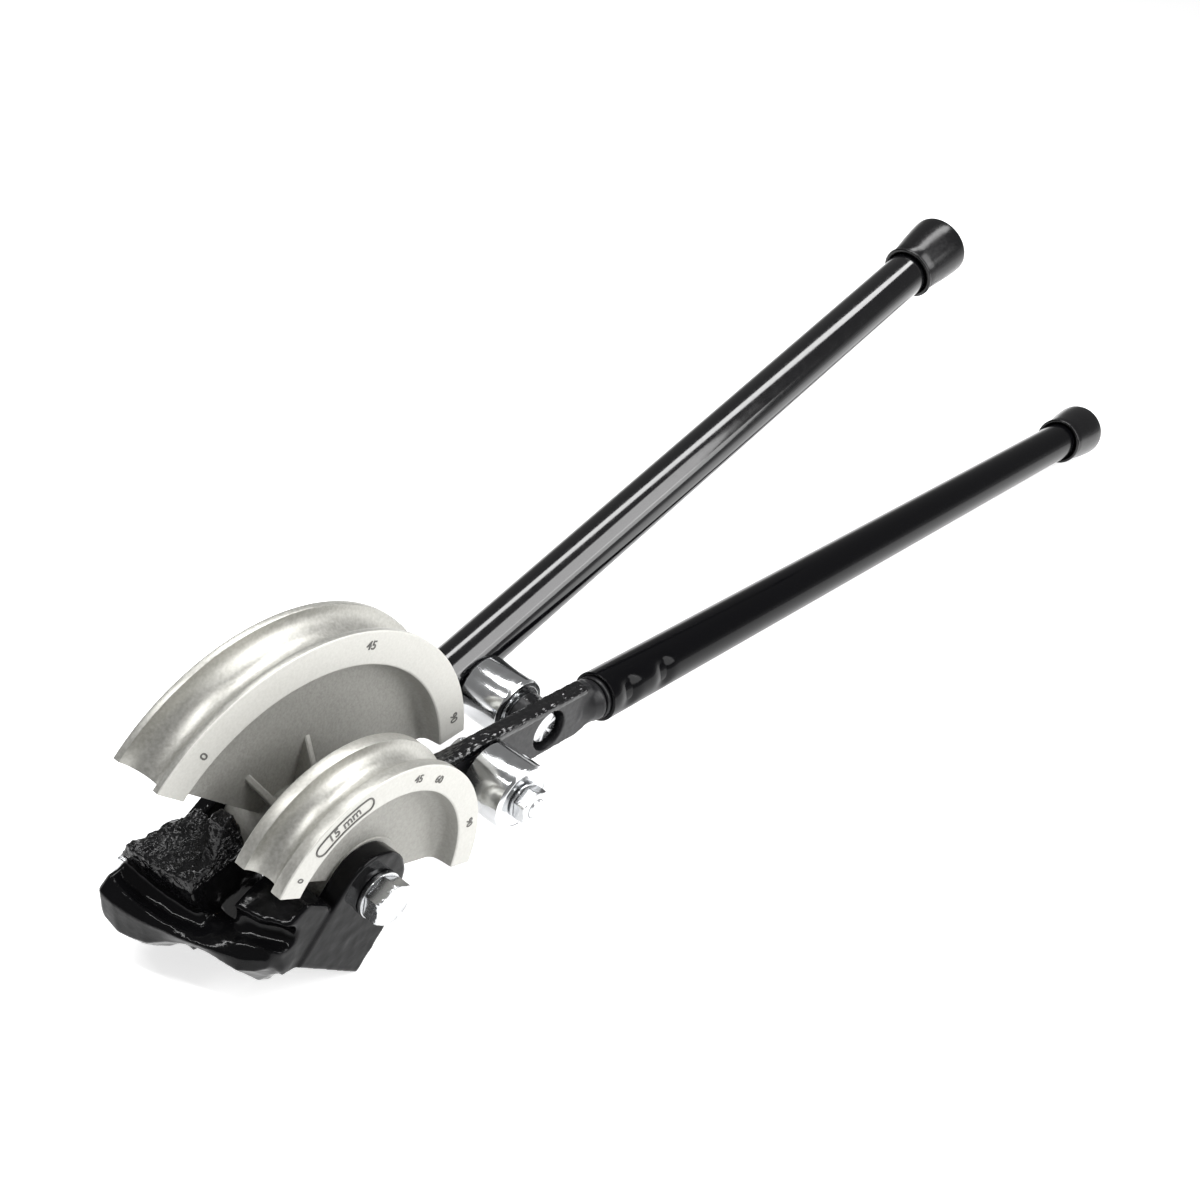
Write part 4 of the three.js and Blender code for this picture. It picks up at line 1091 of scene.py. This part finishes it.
def make_marks():
    """Degrees on both rims, and the pipe's size within an oval on the small former."""
    small_face = SMALL_FORMER["near"]
    large_face = LARGE_FORMER["near"]
    for row in SMALL_MARKS:
        mark(f"small_former_mark_{row[0]}", "small_former", small_face - PROUD, *row)
    for row in LARGE_MARKS:
        mark(f"large_former_mark_{row[0]}", "large_former", large_face - PROUD, *row)
    mark("small_former_size", "small_former", small_face - PROUD, *SIZE_MARK)
    make_oval(small_face)


# Solids that stay as they are

def finish_nodes():
    """The finish of each node by its material slot, for the ones that show."""
    by_slot = {"black_casting": CASTING, "black_paint": STOCK_PAINT, "cast_aluminium": WEB,
               "zinc_plate": BOLT_ZINC, "cap_rubber": RUBBER, "bronze": BRONZE, "nylon": NYLON}
    for node, solid in frame["nodes"].items():
        solid.data.materials.clear()
        solid.data.materials.append(by_slot[SLOT_OF[node]])


# Floor, light and camera

FLOOR_REACH = 30.0
FLOOR_DROP = 0.0006
# The camera was fitted in millimetres and in the photograph's pixels, in a frame this far off along Y
FIT_OFFSET = np.array([0, 1.7, 0])
CAMERA_TURN = math.radians(-48.712)
CAMERA_RISE = math.radians(43.923)
CAMERA_ROLL = math.radians(-0.063)
CAMERA_DISTANCE = 720.828
FOCAL_PIXELS = 1599.112
PIVOT_SIDE_PIXELS = -278.759
PIVOT_UP_PIXELS = 248.594
PHOTO_PIXELS = 1200
SENSOR = 36


def floor_glow(tree, shader, strength):
    """Light from the floor's own surface that only the camera and mirrored or bent rays see: the largest of
    the three signs of such a ray, times the strength."""
    path = tree.nodes.new("ShaderNodeLightPath")
    seen = path.outputs["Is Camera Ray"]
    for ray in ("Is Glossy Ray", "Is Transmission Ray"):
        either = tree.nodes.new("ShaderNodeMath")
        either.operation = "MAXIMUM"
        tree.links.new(seen, either.inputs[0])
        tree.links.new(path.outputs[ray], either.inputs[1])
        seen = either.outputs["Value"]
    glow = tree.nodes.new("ShaderNodeMath")
    glow.operation = "MULTIPLY"
    glow.inputs[1].default_value = strength
    tree.links.new(seen, glow.inputs[0])
    shader.inputs["Emission Color"].default_value = (1, 1, 1, 1)
    tree.links.new(glow.outputs["Value"], shader.inputs["Emission Strength"])


def make_floor():
    """A level sheet under the tool, pale to the eye and to mirrors, that keeps the tool's shadow."""
    r = FLOOR_REACH
    data = bpy.data.meshes.new("floor")
    data.from_pydata([(-r, -r, 0), (r, -r, 0), (r, r, 0), (-r, r, 0)], [], [(0, 1, 2, 3)])
    made, shader = plain_finish("pale floor", (0.8, 0.8, 0.8), 0.9)
    floor_glow(made.node_tree, shader, 0.7)
    data.materials.append(made)
    floor = new_object("floor", data)
    floor.location.z = -FLOOR_DROP


def make_world():
    """A grey surround that pales towards the level of the floor's edge: its strength falls evenly with
    height, so dark pieces stay dark where they mirror it."""
    world = bpy.data.worlds.new("studio")
    bpy.context.scene.world = world
    world.use_nodes = True
    tree = world.node_tree
    around = tree.nodes["Background"]
    around.inputs["Color"].default_value = (1, 1, 1, 1)
    where = tree.nodes.new("ShaderNodeTexCoord")
    parts = tree.nodes.new("ShaderNodeSeparateXYZ")
    fade = tree.nodes.new("ShaderNodeMapRange")
    fade.inputs["From Max"].default_value = 0.2
    fade.inputs["To Min"].default_value = 0.85
    fade.inputs["To Max"].default_value = 0.25
    tree.links.new(where.outputs["Generated"], parts.inputs["Vector"])
    tree.links.new(parts.outputs["Z"], fade.inputs["Value"])
    tree.links.new(fade.outputs["Result"], around.inputs["Strength"])


def make_lamp(name, place, aim, width, height, power, roll=0.0):
    """A flat lamp that faces its aim, turned by roll about that line. Sizes are in metres, power in watts."""
    lamp = bpy.data.lights.new(name, "AREA")
    lamp.energy = power
    lamp.shape = "RECTANGLE"
    lamp.size = width
    lamp.size_y = height
    holder = new_object(name, lamp)
    holder.location = place
    facing = (Vector(aim) - Vector(place)).to_track_quat("-Z", "Y")
    holder.rotation_euler = (facing @ Quaternion((0, 0, 1), roll)).to_euler()


def make_lamps():
    """Two strips over and before the tool, a broad lamp for the stock tube's pale band, and a narrow one that
    draws the thin lines on the hook's edges."""
    make_lamp("overhead", (0.25, 0.34, 1.5), (-0.05, 0, 0), 1.6, 0.36, 21)
    make_lamp("front strip", (0.32, -1.25, 0.62), (-0.1, 0, 0.06), 0.9, 0.42, 6)
    make_lamp("front key", (0.12, -0.74, 0.98), (-0.12, 0.04, 0.1), 0.62, 0.9, 11)
    make_lamp("upper left", (-0.9, 0.25, 1.25), (-0.4, 0, 0.05), 1.0, 0.06, 7, math.radians(43))


def camera_axes():
    """The camera's right, up and back, turned, raised and rolled."""
    turn, rise, roll = CAMERA_TURN, CAMERA_RISE, CAMERA_ROLL
    back = np.array([math.sin(turn) * math.cos(rise), -math.cos(turn) * math.cos(rise), math.sin(rise)])
    level = np.array([math.cos(turn), math.sin(turn), 0.0])
    upright = np.cross(back, level)
    right = level * math.cos(roll) + upright * math.sin(roll)
    up = upright * math.cos(roll) - level * math.sin(roll)
    return np.array([right, up, back])


def make_camera():
    """The photograph's own viewpoint, moved aside so that the pivot stands where it does there."""
    right, up, back = axes = camera_axes()
    per_pixel = CAMERA_DISTANCE / FOCAL_PIXELS
    aside = right * (PIVOT_SIDE_PIXELS * per_pixel)
    raised = up * (PIVOT_UP_PIXELS * per_pixel)
    place = placed(back * CAMERA_DISTANCE - aside + raised + FIT_OFFSET)
    c, s = math.cos(TILT), math.sin(TILT)
    tilt = np.array([[c, 0, -s], [0, 1, 0], [s, 0, c]])
    matrix = np.eye(4)
    matrix[:3, :3] = tilt @ axes.T
    matrix[:3, 3] = place
    data = bpy.data.cameras.new("camera")
    data.sensor_width = SENSOR
    data.lens = SENSOR * FOCAL_PIXELS / PHOTO_PIXELS
    data.clip_start = 0.01
    data.clip_end = 50
    holder = new_object("camera", data)
    holder.matrix_world = Matrix(matrix.tolist())
    bpy.context.scene.camera = holder


make_formers()
make_pivot_fastening()
make_stock_arm_bolts()
make_rollers()
make_near_roller_fastening()
make_far_roller_fastening()
make_handles()
make_hook_casting()
make_stock_arm()
make_lever_arm()
make_marks()
finish_nodes()
make_floor()
make_world()
make_lamps()
make_camera()
bpy.context.scene.view_settings.view_transform = "Standard"
